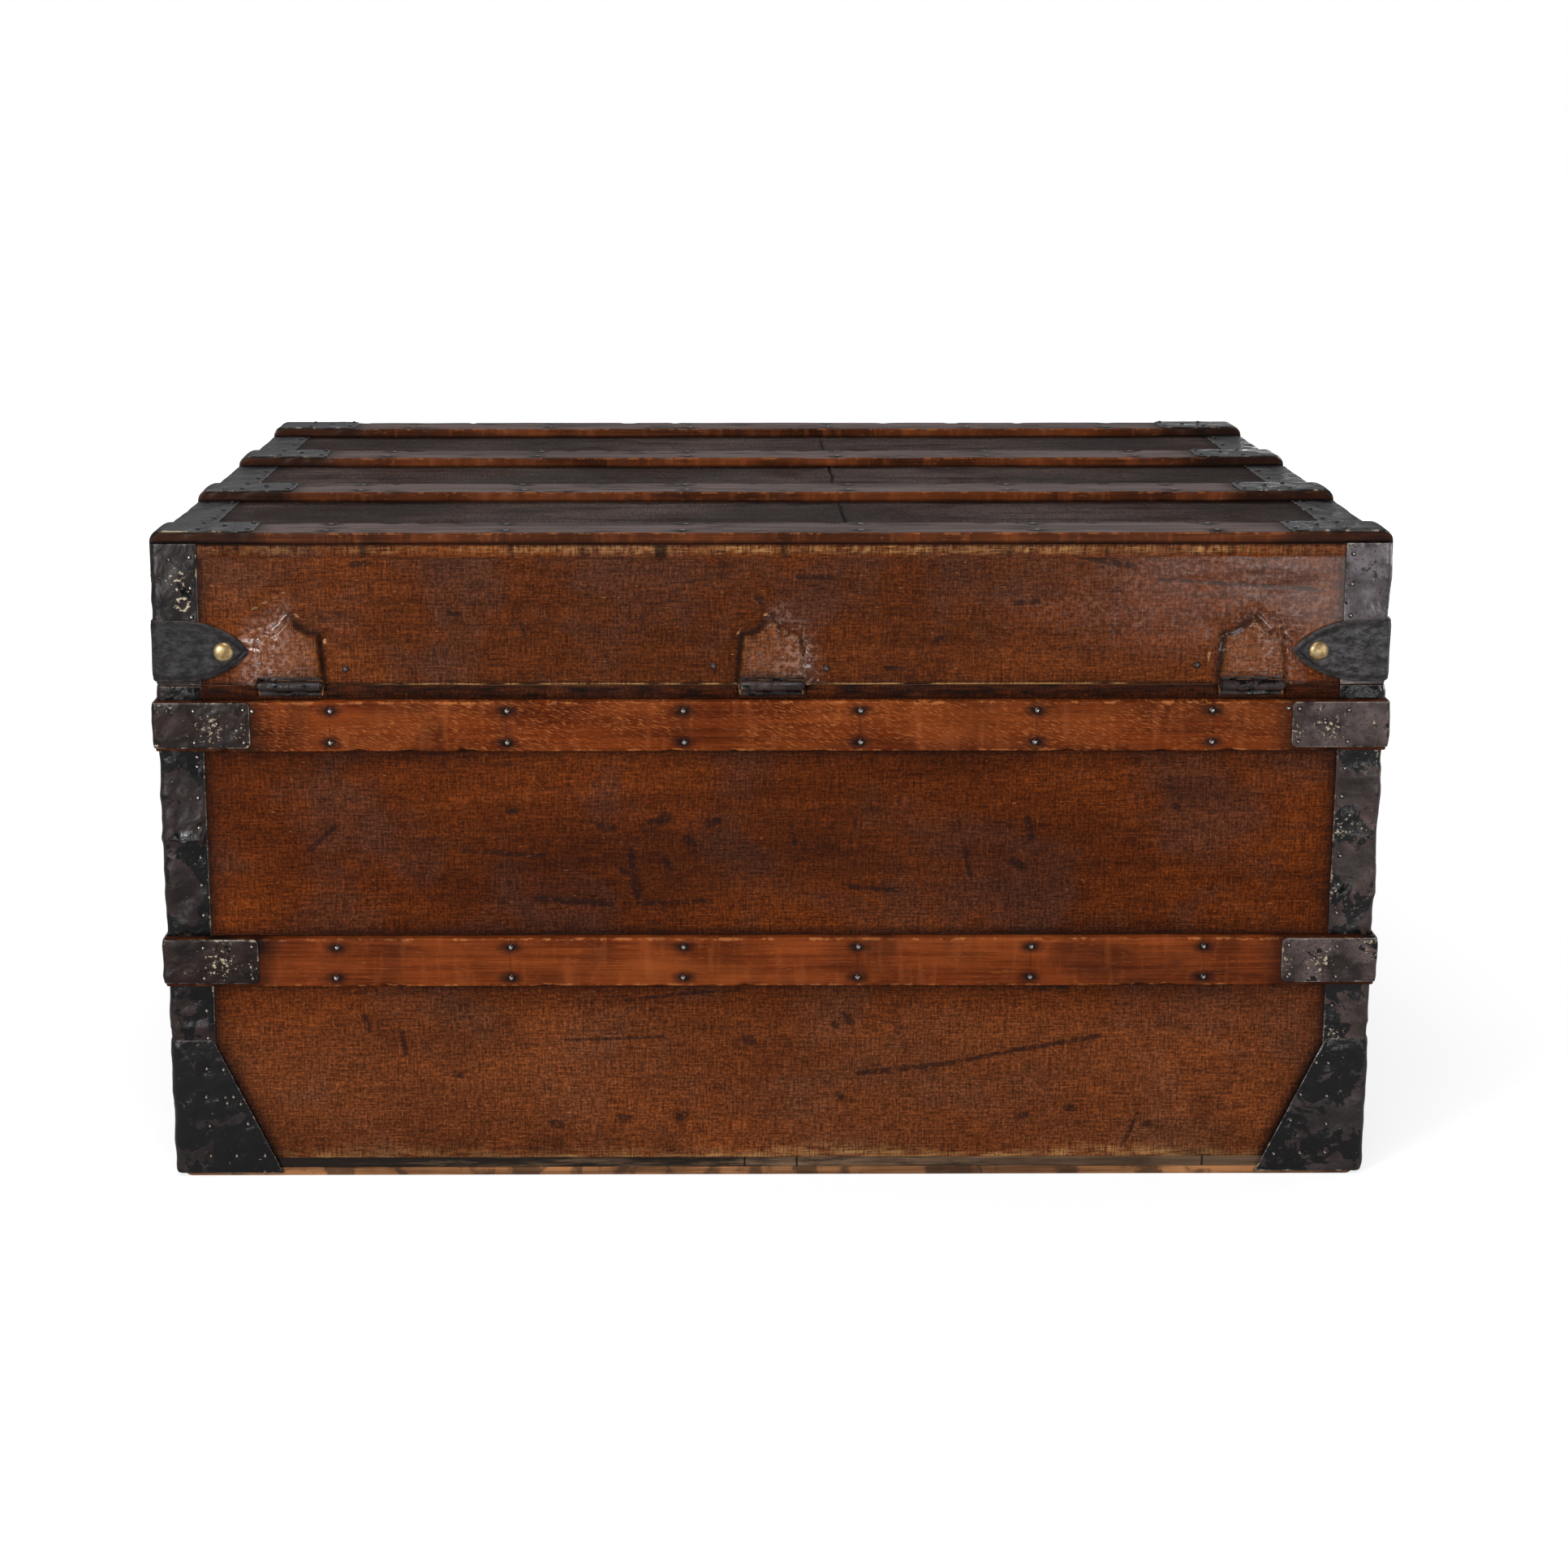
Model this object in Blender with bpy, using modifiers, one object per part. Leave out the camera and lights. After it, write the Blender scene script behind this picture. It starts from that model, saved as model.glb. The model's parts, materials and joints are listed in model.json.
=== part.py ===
# Slatted travelling trunk: a board case and lid under glued canvas, edged and cornered in sheet iron.
# The hinge side faces -Y, the lock side +Y and the two ends -X and +X. The origin is on the floor.

import math

import bmesh
import bpy
from mathutils import Vector

# Boards of the case and the lid, in metres
BOARD_WIDTH = 0.906
BOARD_DEPTH = 0.538
BOARD_THICK = 0.009
CASE_WALL_HEIGHT = 0.374
LID_WALL_HEIGHT = 0.0969
LID_TOP_THICK = 0.008
BOTTOM_THICK = 0.008
CORNER_RADIUS = 0.003

# The lip that stands up inside the case's rim and guides the lid
LIP_THICK = 0.004
LIP_HEIGHT = 0.008
LIP_CLEAR = 0.0005

# Clearances
FIT = 0.0003
JOINT_GAP = 0.0008
PIVOT_CLEAR = 0.0002

# Canvas, sheet iron and leather
CANVAS_THICK = 0.0007
IRON_THICK = 0.0008
LEATHER_THICK = 0.0024
IRON_LEG = 0.033

# Wooden slats and runners
SLAT_WIDTH = 0.038
SLAT_THICK = 0.008
SLAT_EASE = 0.0012
SLAT_END_RADIUS = 0.005
TOP_SLATS = 4
CASE_SLAT_DROPS = {"upper": 0.0103, "lower": 0.194}
RUNNER_THICK = 0.006
RUNNER_SETBACK = 0.004

# Iron clamps over the slat ends
CLAMP_THICK = 0.001
CLAMP_WIDTH = 0.0345
CLAMP_TOP_MARGIN = 0.0005
CASE_CLAMP_REACH = 0.071
LID_CLAMP_REACH = 0.076
CLAMP_FLANGE = 0.030
CLAMP_BEND = 0.003
SLAT_OVERHANG = 0.0006
LID_CLAMP_SEAT = 0.0002

# Three-sided irons on the bottom corners
CORNER_IRON_HEIGHT = 0.108
CORNER_IRON_TOE = 0.082
CORNER_IRON_BLUNT = 0.0015
CORNER_IRON_LIFT = 0.003

# Hinges
HINGE_INSET = 0.0975
HINGES = ("left", "middle", "right")
KNUCKLES = 4
KNUCKLE_LENGTH = 0.011
BARREL_RADIUS = 0.004
PIN_RADIUS = 0.0019
PIN_HEAD_RADIUS = 0.0027
PIN_HEAD_THICK = 0.001
LEAF_THICK = 0.002
LEAF_TAPER = 0.0032
LEAF_SHOULDER = 0.036
LEAF_APEX = 0.0485
LEAF_ROOF_STEPS = 4
LEAF_ROOF_HOLLOW = 2.2
LEAF_SHOWS = 0.002
CASE_LEAF_HEIGHT = 0.038
CASE_LEAF_CORNER = 0.008
WEB_FOOT = 0.007
WEB_SHOULDER = 0.006
TAB_DEPTH = 0.0016
BULGE_SLOPE = 0.004

# Leather guards on the back corners of the lid, each with two brass studs
GUARD_HALF_HEIGHT = 0.0233
GUARD_LIFT = 0.0025
GUARD_REACH = 0.073
GUARD_TONGUE = 0.050
GUARD_SWELL = 0.8
STUD_RADIUS = 0.0073
STUD_RISE = 0.003
STUD_INSET = 0.0185

# Drop handles on the ends
HANDLE_HEIGHT = 0.268
HANDLE_PLATE_LENGTH = 0.190
HANDLE_PLATE_WIDTH = 0.030
HANDLE_PLATE_THICK = 0.0015
HANDLE_LUG_SPACING = 0.152
HANDLE_LUG_THICK = 0.004
HANDLE_LUG_RADIUS = 0.0075
HANDLE_STAND_OFF = 0.0135
HANDLE_PIN_RADIUS = 0.003
HANDLE_PIN_HEAD = 0.0048
HANDLE_DROP = 0.052
HANDLE_GRIP_RADIUS = 0.0085
HANDLE_END_RADIUS = 0.0058
HANDLE_SQUARENESS = 0.45
HANDLE_SWELL = 0.65
HANDLE_STATIONS = 20

# Lock and hasp on the front
LOCK_WIDTH = 0.068
LOCK_HEIGHT = 0.036
LOCK_THICK = 0.007
LOCK_CORNER = 0.004
LOCK_SLOT_WIDTH = 0.008
LOCK_SLOT_DEPTH = 0.0055
KEYHOLE_OFFSET = 0.023
KEYHOLE_RADIUS = 0.0023
KEYHOLE_SLIT = 0.0018
HASP_WIDTH = 0.022
HASP_THICK = 0.002
HASP_LENGTH = 0.034
HASP_BARREL_RADIUS = 0.0032
HASP_PIN_RADIUS = 0.0015
HASP_AXIS_RISE = 0.013
HASP_PLATE_HALF_WIDTH = 0.021
HASP_PLATE_HEIGHT = 0.034
HASP_PLATE_THICK = 0.0015
STAPLE_WIDTH = 0.0055
STAPLE_HEIGHT = 0.008
STAPLE_DEPTH = 0.004

# Smoothness of bends and turned pieces
BEND_STEPS = 4
ROUND_STEPS = 16
OVERLAP = 0.001

# Levels that follow from the sizes above
BOTTOM_LOW = RUNNER_THICK + FIT
BOTTOM_TOP = BOTTOM_LOW + BOTTOM_THICK
WALL_LOW = BOTTOM_TOP + FIT
JOINT_Z = WALL_LOW + CASE_WALL_HEIGHT
LID_LOW = JOINT_Z + JOINT_GAP
LID_WALL_TOP = LID_LOW + LID_WALL_HEIGHT
LID_BOARD_TOP = LID_WALL_TOP + FIT + LID_TOP_THICK
HALF_WIDTH = BOARD_WIDTH / 2
HALF_DEPTH = BOARD_DEPTH / 2

# How far each layer stands out from the boards
CANVAS_IN = FIT
CANVAS_OUT = CANVAS_IN + CANVAS_THICK
IRON_IN = CANVAS_OUT + FIT
IRON_OUT = IRON_IN + IRON_THICK
OVER_IRON = IRON_OUT + FIT
SLAT_IN = CANVAS_OUT + FIT
SLAT_OUT = SLAT_IN + SLAT_THICK
LID_CANVAS_TOP = LID_BOARD_TOP + CANVAS_OUT
LID_SLAT_TOP = LID_BOARD_TOP + SLAT_OUT

# The hinge axis, just outside the back boards at the height of the lid joint
BARREL_OUT = FIT + BARREL_RADIUS
HINGE_AXIS = Vector((0.0, -HALF_DEPTH - BARREL_OUT, JOINT_Z + JOINT_GAP / 2))
BARREL_HALF = (KNUCKLES * KNUCKLE_LENGTH + (KNUCKLES - 1) * FIT) / 2
BORE_RADIUS = PIN_RADIUS + PIVOT_CLEAR
LEAF_HALF_WIDTH = BARREL_HALF

# The hasp axis on the lid's front and the handle axes on the ends
HASP_BARREL_OUT = IRON_IN + HASP_BARREL_RADIUS
HASP_AXIS = Vector((0.0, HALF_DEPTH + HASP_BARREL_OUT, LID_LOW + HASP_AXIS_RISE))
HANDLE_OUT = CANVAS_OUT + HANDLE_STAND_OFF

# The ends face -X and +X, the back and front -Y and +Y: each upright corner is one of each
CORNERS = [(-1, -1), (1, -1), (-1, 1), (1, 1)]

UPRIGHT_X = (math.radians(90), 0.0, 0.0)
UNDERSIDE_UP = (math.radians(-90), 0.0, 0.0)
UPRIGHT_Y = (math.radians(90), 0.0, math.radians(90))


# Scene, collections and finishes
def clear_scene():
    for obj in list(bpy.data.objects):
        bpy.data.objects.remove(obj)


def collection(name):
    made = bpy.data.collections.new(name)
    bpy.context.scene.collection.children.link(made)
    return made


def finish(name, colour, roughness, metallic=0.0):
    made = bpy.data.materials.new(name)
    made.use_nodes = True
    shader = made.node_tree.nodes["Principled BSDF"]
    shader.inputs["Base Color"].default_value = (*colour, 1.0)
    shader.inputs["Roughness"].default_value = roughness
    shader.inputs["Metallic"].default_value = metallic
    return made


clear_scene()
TRUNK = collection("trunk")
CUTTERS = collection("cutters")
BOARD = finish("bare_board", (0.36, 0.23, 0.13), 0.75)
SLAT_WOOD = finish("slat_wood", (0.30, 0.11, 0.04), 0.45)
CANVAS = finish("varnished_canvas", (0.16, 0.06, 0.025), 0.5)
BLACK_IRON = finish("japanned_iron", (0.035, 0.028, 0.027), 0.42, 0.6)
LEATHER = finish("black_leather", (0.022, 0.023, 0.026), 0.55)
BROWN_LEATHER = finish("handle_leather", (0.07, 0.035, 0.018), 0.55)
BRASS = finish("lock_brass", (0.48, 0.33, 0.13), 0.35, 1.0)


# Shapes
def place(name, mesh, material, home=TRUNK):
    obj = bpy.data.objects.new(name, mesh)
    home.objects.link(obj)
    if material:
        mesh.materials.append(material)
    if home is CUTTERS:
        obj.hide_render = True
        obj.display_type = "WIRE"
    return obj


def box(name, low, high, material=None, home=TRUNK):
    low, high = Vector(low), Vector(high)
    mesh = bpy.data.meshes.new(name)
    shape = bmesh.new()
    bmesh.ops.create_cube(shape, size=1.0)
    bmesh.ops.scale(shape, vec=high - low, verts=shape.verts)
    shape.to_mesh(mesh)
    shape.free()
    obj = place(name, mesh, material, home)
    obj.location = (low + high) / 2
    return obj


def meshed(name, curve):
    """The closed mesh of a curve, with its caps welded on."""
    drawn = bpy.data.objects.new(name, curve)
    TRUNK.objects.link(drawn)
    bpy.context.view_layer.update()
    graph = bpy.context.evaluated_depsgraph_get()
    mesh = bpy.data.meshes.new_from_object(drawn.evaluated_get(graph))
    bpy.data.objects.remove(drawn)
    mesh.materials.clear()
    shape = bmesh.new()
    shape.from_mesh(mesh)
    bmesh.ops.remove_doubles(shape, verts=shape.verts, dist=0.000001)
    bmesh.ops.recalc_face_normals(shape, faces=shape.faces)
    shape.to_mesh(mesh)
    shape.free()
    return mesh


def prism(name, outline, thick, material=None, home=TRUNK, turn=(0.0, 0.0, 0.0), at=(0.0, 0.0, 0.0)):
    """A flat closed outline given half its thickness to each side, then turned and set at a point."""
    curve = bpy.data.curves.new(name, "CURVE")
    curve.dimensions = "2D"
    curve.fill_mode = "BOTH"
    curve.extrude = thick / 2
    spline = curve.splines.new("POLY")
    spline.points.add(len(outline) - 1)
    for point, (u, v) in zip(spline.points, outline):
        point.co = (u, v, 0.0, 1.0)
    spline.use_cyclic_u = True
    obj = place(name, meshed(name, curve), material, home)
    obj.rotation_euler = turn
    obj.location = at
    return obj


def tapered(name, base, top, low, high, home=CUTTERS):
    """A loft between two outlines of as many points, in the XZ plane, from y = -low to y = -high."""
    shape = bmesh.new()
    rings = [
        [shape.verts.new((u, -out, v)) for u, v in outline]
        for outline, out in ((base, low), (top, high))
    ]
    for ring in rings:
        shape.faces.new(ring)
    for i in range(len(base)):
        j = (i + 1) % len(base)
        shape.faces.new((rings[0][i], rings[0][j], rings[1][j], rings[1][i]))
    bmesh.ops.recalc_face_normals(shape, faces=shape.faces)
    mesh = bpy.data.meshes.new(name)
    shape.to_mesh(mesh)
    shape.free()
    return place(name, mesh, None, home)


def bent_sheet(name, path, low, high, thick, material=None, home=TRUNK, turn=(0.0, 0.0, 0.0)):
    """A sheet that follows path and spans low(u, v) to high(u, v); it thickens to the path's right."""
    shape = bmesh.new()
    rows = [
        (shape.verts.new((u, v, low(u, v))), shape.verts.new((u, v, high(u, v))))
        for u, v in path
    ]
    for (a, b), (c, d) in zip(rows, rows[1:]):
        shape.faces.new((a, c, d, b))
    mesh = bpy.data.meshes.new(name)
    shape.to_mesh(mesh)
    shape.free()
    obj = place(name, mesh, material, home)
    obj.rotation_euler = turn
    solid = obj.modifiers.new("sheet", "SOLIDIFY")
    solid.thickness = thick
    solid.offset = 1.0
    solid.use_even_offset = True
    return obj


def strip(name, path, low, high, thick, material=None, **where):
    """A sheet of even width that follows path."""
    return bent_sheet(name, path, lambda u, v: low, lambda u, v: high, thick, material, **where)


def turned(name, profile, material=None, home=TRUNK, along="X", at=(0.0, 0.0, 0.0)):
    """A lathe shape. The profile holds (radius, height) pairs, down its outer side from top to bottom."""
    mesh = bpy.data.meshes.new(name)
    points = [(radius, 0.0, height) for radius, height in profile]
    edges = [(i, i + 1) for i in range(len(points) - 1)]
    if profile[0][0] > 0.0:
        edges.append((len(points) - 1, 0))
    mesh.from_pydata(points, edges, [])
    obj = place(name, mesh, material, home)
    screw = obj.modifiers.new("turn", "SCREW")
    screw.steps = ROUND_STEPS
    screw.render_steps = ROUND_STEPS
    screw.use_merge_vertices = True
    screw.merge_threshold = 0.00001
    if along == "X":
        obj.rotation_euler = (0.0, math.radians(90), 0.0)
    if along == "Y":
        obj.rotation_euler = (math.radians(90), 0.0, 0.0)
    obj.location = at
    return obj


def tube(name, bore, radius, length, **where):
    half = length / 2
    return turned(name, [(radius, half), (radius, -half), (bore, -half), (bore, half)], **where)


def rod(name, radius, length, **where):
    half = length / 2
    return turned(name, [(0.0, half), (radius, half), (radius, -half), (0.0, -half)], **where)


def combine(obj, other, operation):
    modifier = obj.modifiers.new(other.name, "BOOLEAN")
    modifier.operation = operation
    modifier.object = other
    if other.name not in CUTTERS.objects:
        TRUNK.objects.unlink(other)
        CUTTERS.objects.link(other)
        other.hide_render = True
        other.display_type = "WIRE"


def cut(obj, *others):
    for other in others:
        combine(obj, other, "DIFFERENCE")


def fuse(obj, *others):
    for other in others:
        combine(obj, other, "UNION")


def ease(obj, width):
    """Rounds the sharp edges a little, as a worn wooden piece has them."""
    bevel = obj.modifiers.new("ease", "BEVEL")
    bevel.width = width
    bevel.segments = 2
    bevel.limit_method = "ANGLE"
    bevel.angle_limit = math.radians(40)


def shade_round(obj):
    obj.data.shade_smooth()
    obj.data.set_sharp_from_angle(angle=math.radians(35))


# Outlines and paths
def fillet(before, corner, after, radius):
    """Points of the arc that rounds one corner of an outline or a path."""
    before, corner, after = Vector(before), Vector(corner), Vector(after)
    if radius <= 0.0:
        return [tuple(corner)]
    inward, outward = (before - corner).normalized(), (after - corner).normalized()
    half_angle = inward.angle(outward) / 2
    middle = corner + (inward + outward).normalized() * (radius / math.sin(half_angle))
    start = corner + inward * (radius / math.tan(half_angle)) - middle
    sweep = math.pi - 2 * half_angle
    if inward.cross(outward) > 0:
        sweep = -sweep
    arc = []
    for step in range(BEND_STEPS + 1):
        turn = sweep * step / BEND_STEPS
        x = start.x * math.cos(turn) - start.y * math.sin(turn)
        y = start.x * math.sin(turn) + start.y * math.cos(turn)
        arc.append((middle.x + x, middle.y + y))
    return arc


def rounded(corners, radii):
    """A closed outline with each corner rounded by its own radius."""
    count = len(corners)
    outline = []
    for i, corner in enumerate(corners):
        outline += fillet(corners[i - 1], corner, corners[(i + 1) % count], radii[i])
    return outline


def bent_path(corners, radius):
    """An open path with its inner corners rounded."""
    path = [tuple(corners[0])]
    for before, corner, after in zip(corners, corners[1:], corners[2:]):
        path += fillet(before, corner, after, radius)
    return path + [tuple(corners[-1])]


def rectangle(half_width, half_depth, radius):
    corners = [
        (-half_width, -half_depth),
        (half_width, -half_depth),
        (half_width, half_depth),
        (-half_width, half_depth),
    ]
    return rounded(corners, [radius] * 4)


def grown_box(out):
    """The plan of the boards, moved out by the thickness of the layers on them."""
    return rectangle(HALF_WIDTH + out, HALF_DEPTH + out, CORNER_RADIUS + out)


def corner_path(end, face, out, leg, radius=None):
    """Round one upright corner of the trunk: end is -1 or 1 along X, face is -1 or 1 along Y."""
    x, y = end * (HALF_WIDTH + out), face * (HALF_DEPTH + out)
    corners = [(x, y - face * leg), (x, y), (x - end * leg, y)]
    path = bent_path(corners, CORNER_RADIUS + out if radius is None else radius)
    return path if end * face > 0 else path[::-1]


def from_corner(x, y, out):
    """How far a point on the faces is from the upright corner, measured along the face."""
    return max(HALF_WIDTH + out - abs(x), HALF_DEPTH + out - abs(y))


def mirrored(outline):
    return [(-u, v) for u, v in reversed(outline)]


def side_name(side, low, high):
    return low if side < 0 else high


def corner_name(end, face):
    return side_name(face, "back", "front") + "_" + side_name(end, "left", "right")


# Boards
def case_boards():
    boards = []
    lip_in = HALF_DEPTH - BOARD_THICK
    for face in (-1, 1):
        name = side_name(face, "case_back_board", "case_front_board")
        corners = [
            (-HALF_WIDTH, face * HALF_DEPTH),
            (HALF_WIDTH, face * HALF_DEPTH),
            (HALF_WIDTH, face * lip_in),
            (-HALF_WIDTH, face * lip_in),
        ]
        outline = rounded(corners, [CORNER_RADIUS, CORNER_RADIUS, 0.0, 0.0])
        middle = (0.0, 0.0, (WALL_LOW + JOINT_Z) / 2)
        board = prism(name, outline, CASE_WALL_HEIGHT, BOARD, at=middle)
        lip_half = HALF_WIDTH - BOARD_THICK + LIP_THICK
        near, far = sorted((face * (lip_in + FIT), face * (lip_in + LIP_THICK)))
        lip = box(
            name + "_lip",
            (-lip_half, near, JOINT_Z - LIP_HEIGHT),
            (lip_half, far, JOINT_Z + LIP_HEIGHT),
            home=CUTTERS,
        )
        fuse(board, lip)
        boards.append(board)
    for end in (-1, 1):
        name = side_name(end, "case_left_board", "case_right_board")
        outer, inner = end * HALF_WIDTH, end * (HALF_WIDTH - BOARD_THICK)
        step = end * (HALF_WIDTH - BOARD_THICK + LIP_THICK)
        profile = [
            (outer, WALL_LOW),
            (inner, WALL_LOW),
            (inner, JOINT_Z + LIP_HEIGHT),
            (step, JOINT_Z + LIP_HEIGHT),
            (step, JOINT_Z),
            (outer, JOINT_Z),
        ]
        length = 2 * (HALF_DEPTH - BOARD_THICK - FIT)
        boards.append(prism(name, profile, length, BOARD, turn=UPRIGHT_X))
    return boards


def bottom_board():
    middle = (0.0, 0.0, BOTTOM_LOW + BOTTOM_THICK / 2)
    return prism(
        "bottom_board",
        rectangle(HALF_WIDTH, HALF_DEPTH, CORNER_RADIUS),
        BOTTOM_THICK,
        BOARD,
        at=middle,
    )


def lid_frame():
    """Four lid boards glued at the corners, with a rabbet inside that drops over the case's lip."""
    middle = (0.0, 0.0, LID_LOW + LID_WALL_HEIGHT / 2)
    frame = prism(
        "lid_frame",
        rectangle(HALF_WIDTH, HALF_DEPTH, CORNER_RADIUS),
        LID_WALL_HEIGHT,
        BOARD,
        at=middle,
    )
    inner_x, inner_y = HALF_WIDTH - BOARD_THICK, HALF_DEPTH - BOARD_THICK
    hollow = box(
        "lid_hollow",
        (-inner_x, -inner_y, LID_LOW - OVERLAP),
        (inner_x, inner_y, LID_WALL_TOP + OVERLAP),
        home=CUTTERS,
    )
    rabbet_x, rabbet_y = inner_x + LIP_THICK + LIP_CLEAR, inner_y + LIP_THICK + LIP_CLEAR
    rabbet = box(
        "lid_rabbet",
        (-rabbet_x, -rabbet_y, LID_LOW - OVERLAP),
        (rabbet_x, rabbet_y, JOINT_Z + LIP_HEIGHT + LIP_CLEAR),
        home=CUTTERS,
    )
    cut(frame, hollow, rabbet)
    return frame


def lid_top_board():
    middle = (0.0, 0.0, LID_BOARD_TOP - LID_TOP_THICK / 2)
    return prism(
        "lid_top_board",
        rectangle(HALF_WIDTH, HALF_DEPTH, CORNER_RADIUS),
        LID_TOP_THICK,
        BOARD,
        at=middle,
    )


# Hinges
def hinge_x(index):
    """The outer hinges keep their distance from the trunk's ends, and the others share the rest."""
    outer = HALF_WIDTH - HINGE_INSET
    return outer * (2 * index / (len(HINGES) - 1) - 1)


def knuckle_x(index):
    """The middle of one knuckle, counted from the left end of the barrel."""
    return -BARREL_HALF + KNUCKLE_LENGTH / 2 + index * (KNUCKLE_LENGTH + FIT)


def leaf_outline(grow=0.0):
    """The lid leaf's house shape above the barrel, under a hollow-sided pointed roof."""
    eaves = LEAF_HALF_WIDTH - LEAF_TAPER + grow
    shoulder = LEAF_SHOULDER + grow
    rise = LEAF_APEX + grow - LEAF_SHOULDER
    right = [(LEAF_HALF_WIDTH + grow, BARREL_RADIUS + FIT)]
    for step in range(LEAF_ROOF_STEPS):
        share = step / LEAF_ROOF_STEPS
        right.append((eaves * (1 - share), shoulder + rise * share**LEAF_ROOF_HOLLOW))
    return right + [(0.0, shoulder + rise)] + mirrored(right)


def lid_leaf(name, x):
    """The leaf nailed to the lid's back board, with the first and third knuckles."""
    face_y = -HALF_DEPTH - FIT - LEAF_THICK / 2
    at = (x, face_y, HINGE_AXIS.z)
    leaf = prism(name, leaf_outline(), LEAF_THICK, BLACK_IRON, turn=UPRIGHT_X, at=at)
    for index in range(0, KNUCKLES, 2):
        middle = x + knuckle_x(index)
        knuckle = tube(
            f"{name}_knuckle_{index}",
            BORE_RADIUS,
            BARREL_RADIUS,
            KNUCKLE_LENGTH,
            home=CUTTERS,
            at=(middle, HINGE_AXIS.y, HINGE_AXIS.z),
        )
        half = min(KNUCKLE_LENGTH / 2, LEAF_HALF_WIDTH - abs(knuckle_x(index))) - FIT
        tab = box(
            f"{name}_tab_{index}",
            (middle - half, face_y - LEAF_THICK / 2 + FIT / 3, HINGE_AXIS.z + TAB_DEPTH),
            (middle + half, face_y + LEAF_THICK / 2 - FIT / 3, HINGE_AXIS.z + 2 * BARREL_RADIUS),
            home=CUTTERS,
        )
        fuse(leaf, tab, knuckle)
    return leaf


def case_leaf(name, x):
    """The leaf let into the case's back board, with the second and fourth knuckles on cranked webs."""
    sunk = FIT + LEAF_THICK
    low, high = HINGE_AXIS.z - CASE_LEAF_HEIGHT, HINGE_AXIS.z - WEB_SHOULDER + TAB_DEPTH / 2
    outline = rounded(
        [
            (-LEAF_HALF_WIDTH, low),
            (LEAF_HALF_WIDTH, low),
            (LEAF_HALF_WIDTH, high),
            (-LEAF_HALF_WIDTH, high),
        ],
        [CASE_LEAF_CORNER, CASE_LEAF_CORNER, 0.0, 0.0],
    )
    at = (x, -HALF_DEPTH + sunk - LEAF_THICK / 2, 0.0)
    leaf = prism(name, outline, LEAF_THICK, BLACK_IRON, turn=UPRIGHT_X, at=at)
    # The web in section, as distances out from the board's face and up from the hinge axis
    within = -FIT - FIT / 3
    web = [
        (FIT - sunk, FIT - WEB_SHOULDER),
        (FIT - sunk, -WEB_FOOT),
        (within, -WEB_FOOT),
        (within, -WEB_SHOULDER - FIT),
        (0.8 * BARREL_RADIUS, -0.75 * BARREL_RADIUS),
        (0.25 * BARREL_RADIUS, -0.43 * BARREL_RADIUS),
    ]
    section = [(-HALF_DEPTH - out, HINGE_AXIS.z + up) for out, up in web]
    for index in range(1, KNUCKLES, 2):
        middle = x + knuckle_x(index)
        knuckle = tube(
            f"{name}_knuckle_{index}",
            BORE_RADIUS,
            BARREL_RADIUS,
            KNUCKLE_LENGTH,
            home=CUTTERS,
            at=(middle, HINGE_AXIS.y, HINGE_AXIS.z),
        )
        brace = prism(
            f"{name}_web_{index}",
            section,
            KNUCKLE_LENGTH - FIT,
            home=CUTTERS,
            turn=UPRIGHT_Y,
            at=(middle, 0.0, 0.0),
        )
        fuse(leaf, brace, knuckle)
    return leaf


def hinge_pin(name, x):
    """A pin with a peened head at each end of the barrel."""
    half = BARREL_HALF + FIT
    head = half + PIN_HEAD_THICK
    profile = [
        (0.0, head),
        (PIN_HEAD_RADIUS, head),
        (PIN_HEAD_RADIUS, half),
        (PIN_RADIUS, half),
        (PIN_RADIUS, -half),
        (PIN_HEAD_RADIUS, -half),
        (PIN_HEAD_RADIUS, -head),
        (0.0, -head),
    ]
    pin = turned(name, profile, BLACK_IRON, at=(x, HINGE_AXIS.y, HINGE_AXIS.z))
    shade_round(pin)
    return pin


def hinge_mortise(x):
    """The pocket in the case's back board that takes one case leaf."""
    half = LEAF_HALF_WIDTH + FIT
    return box(
        "hinge_mortise",
        (x - half, -HALF_DEPTH - OVERLAP, HINGE_AXIS.z - CASE_LEAF_HEIGHT - FIT),
        (x + half, -HALF_DEPTH + LEAF_THICK + 2 * FIT, JOINT_Z + OVERLAP),
        home=CUTTERS,
    )


def barrel_gap(x, low, high):
    """The opening that a canvas leaves round one hinge barrel."""
    half = BARREL_HALF + PIN_HEAD_THICK + 2 * FIT
    return box(
        "barrel_gap",
        (x - half, -HALF_DEPTH - 2 * BARREL_RADIUS, low),
        (x + half, -HALF_DEPTH - CANVAS_IN / 2, high),
        home=CUTTERS,
    )


# Canvas
def case_canvas():
    height = JOINT_Z - WALL_LOW
    middle = (0.0, 0.0, WALL_LOW + height / 2)
    cloth = prism("case_canvas", grown_box(CANVAS_OUT), height, CANVAS, at=middle)
    core = prism("case_core", grown_box(CANVAS_IN), height + 2 * OVERLAP, home=CUTTERS, at=middle)
    cut(cloth, core)
    for index in range(len(HINGES)):
        cut(cloth, barrel_gap(hinge_x(index), JOINT_Z - 2 * BARREL_RADIUS, JOINT_Z + OVERLAP))
    return cloth


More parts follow.
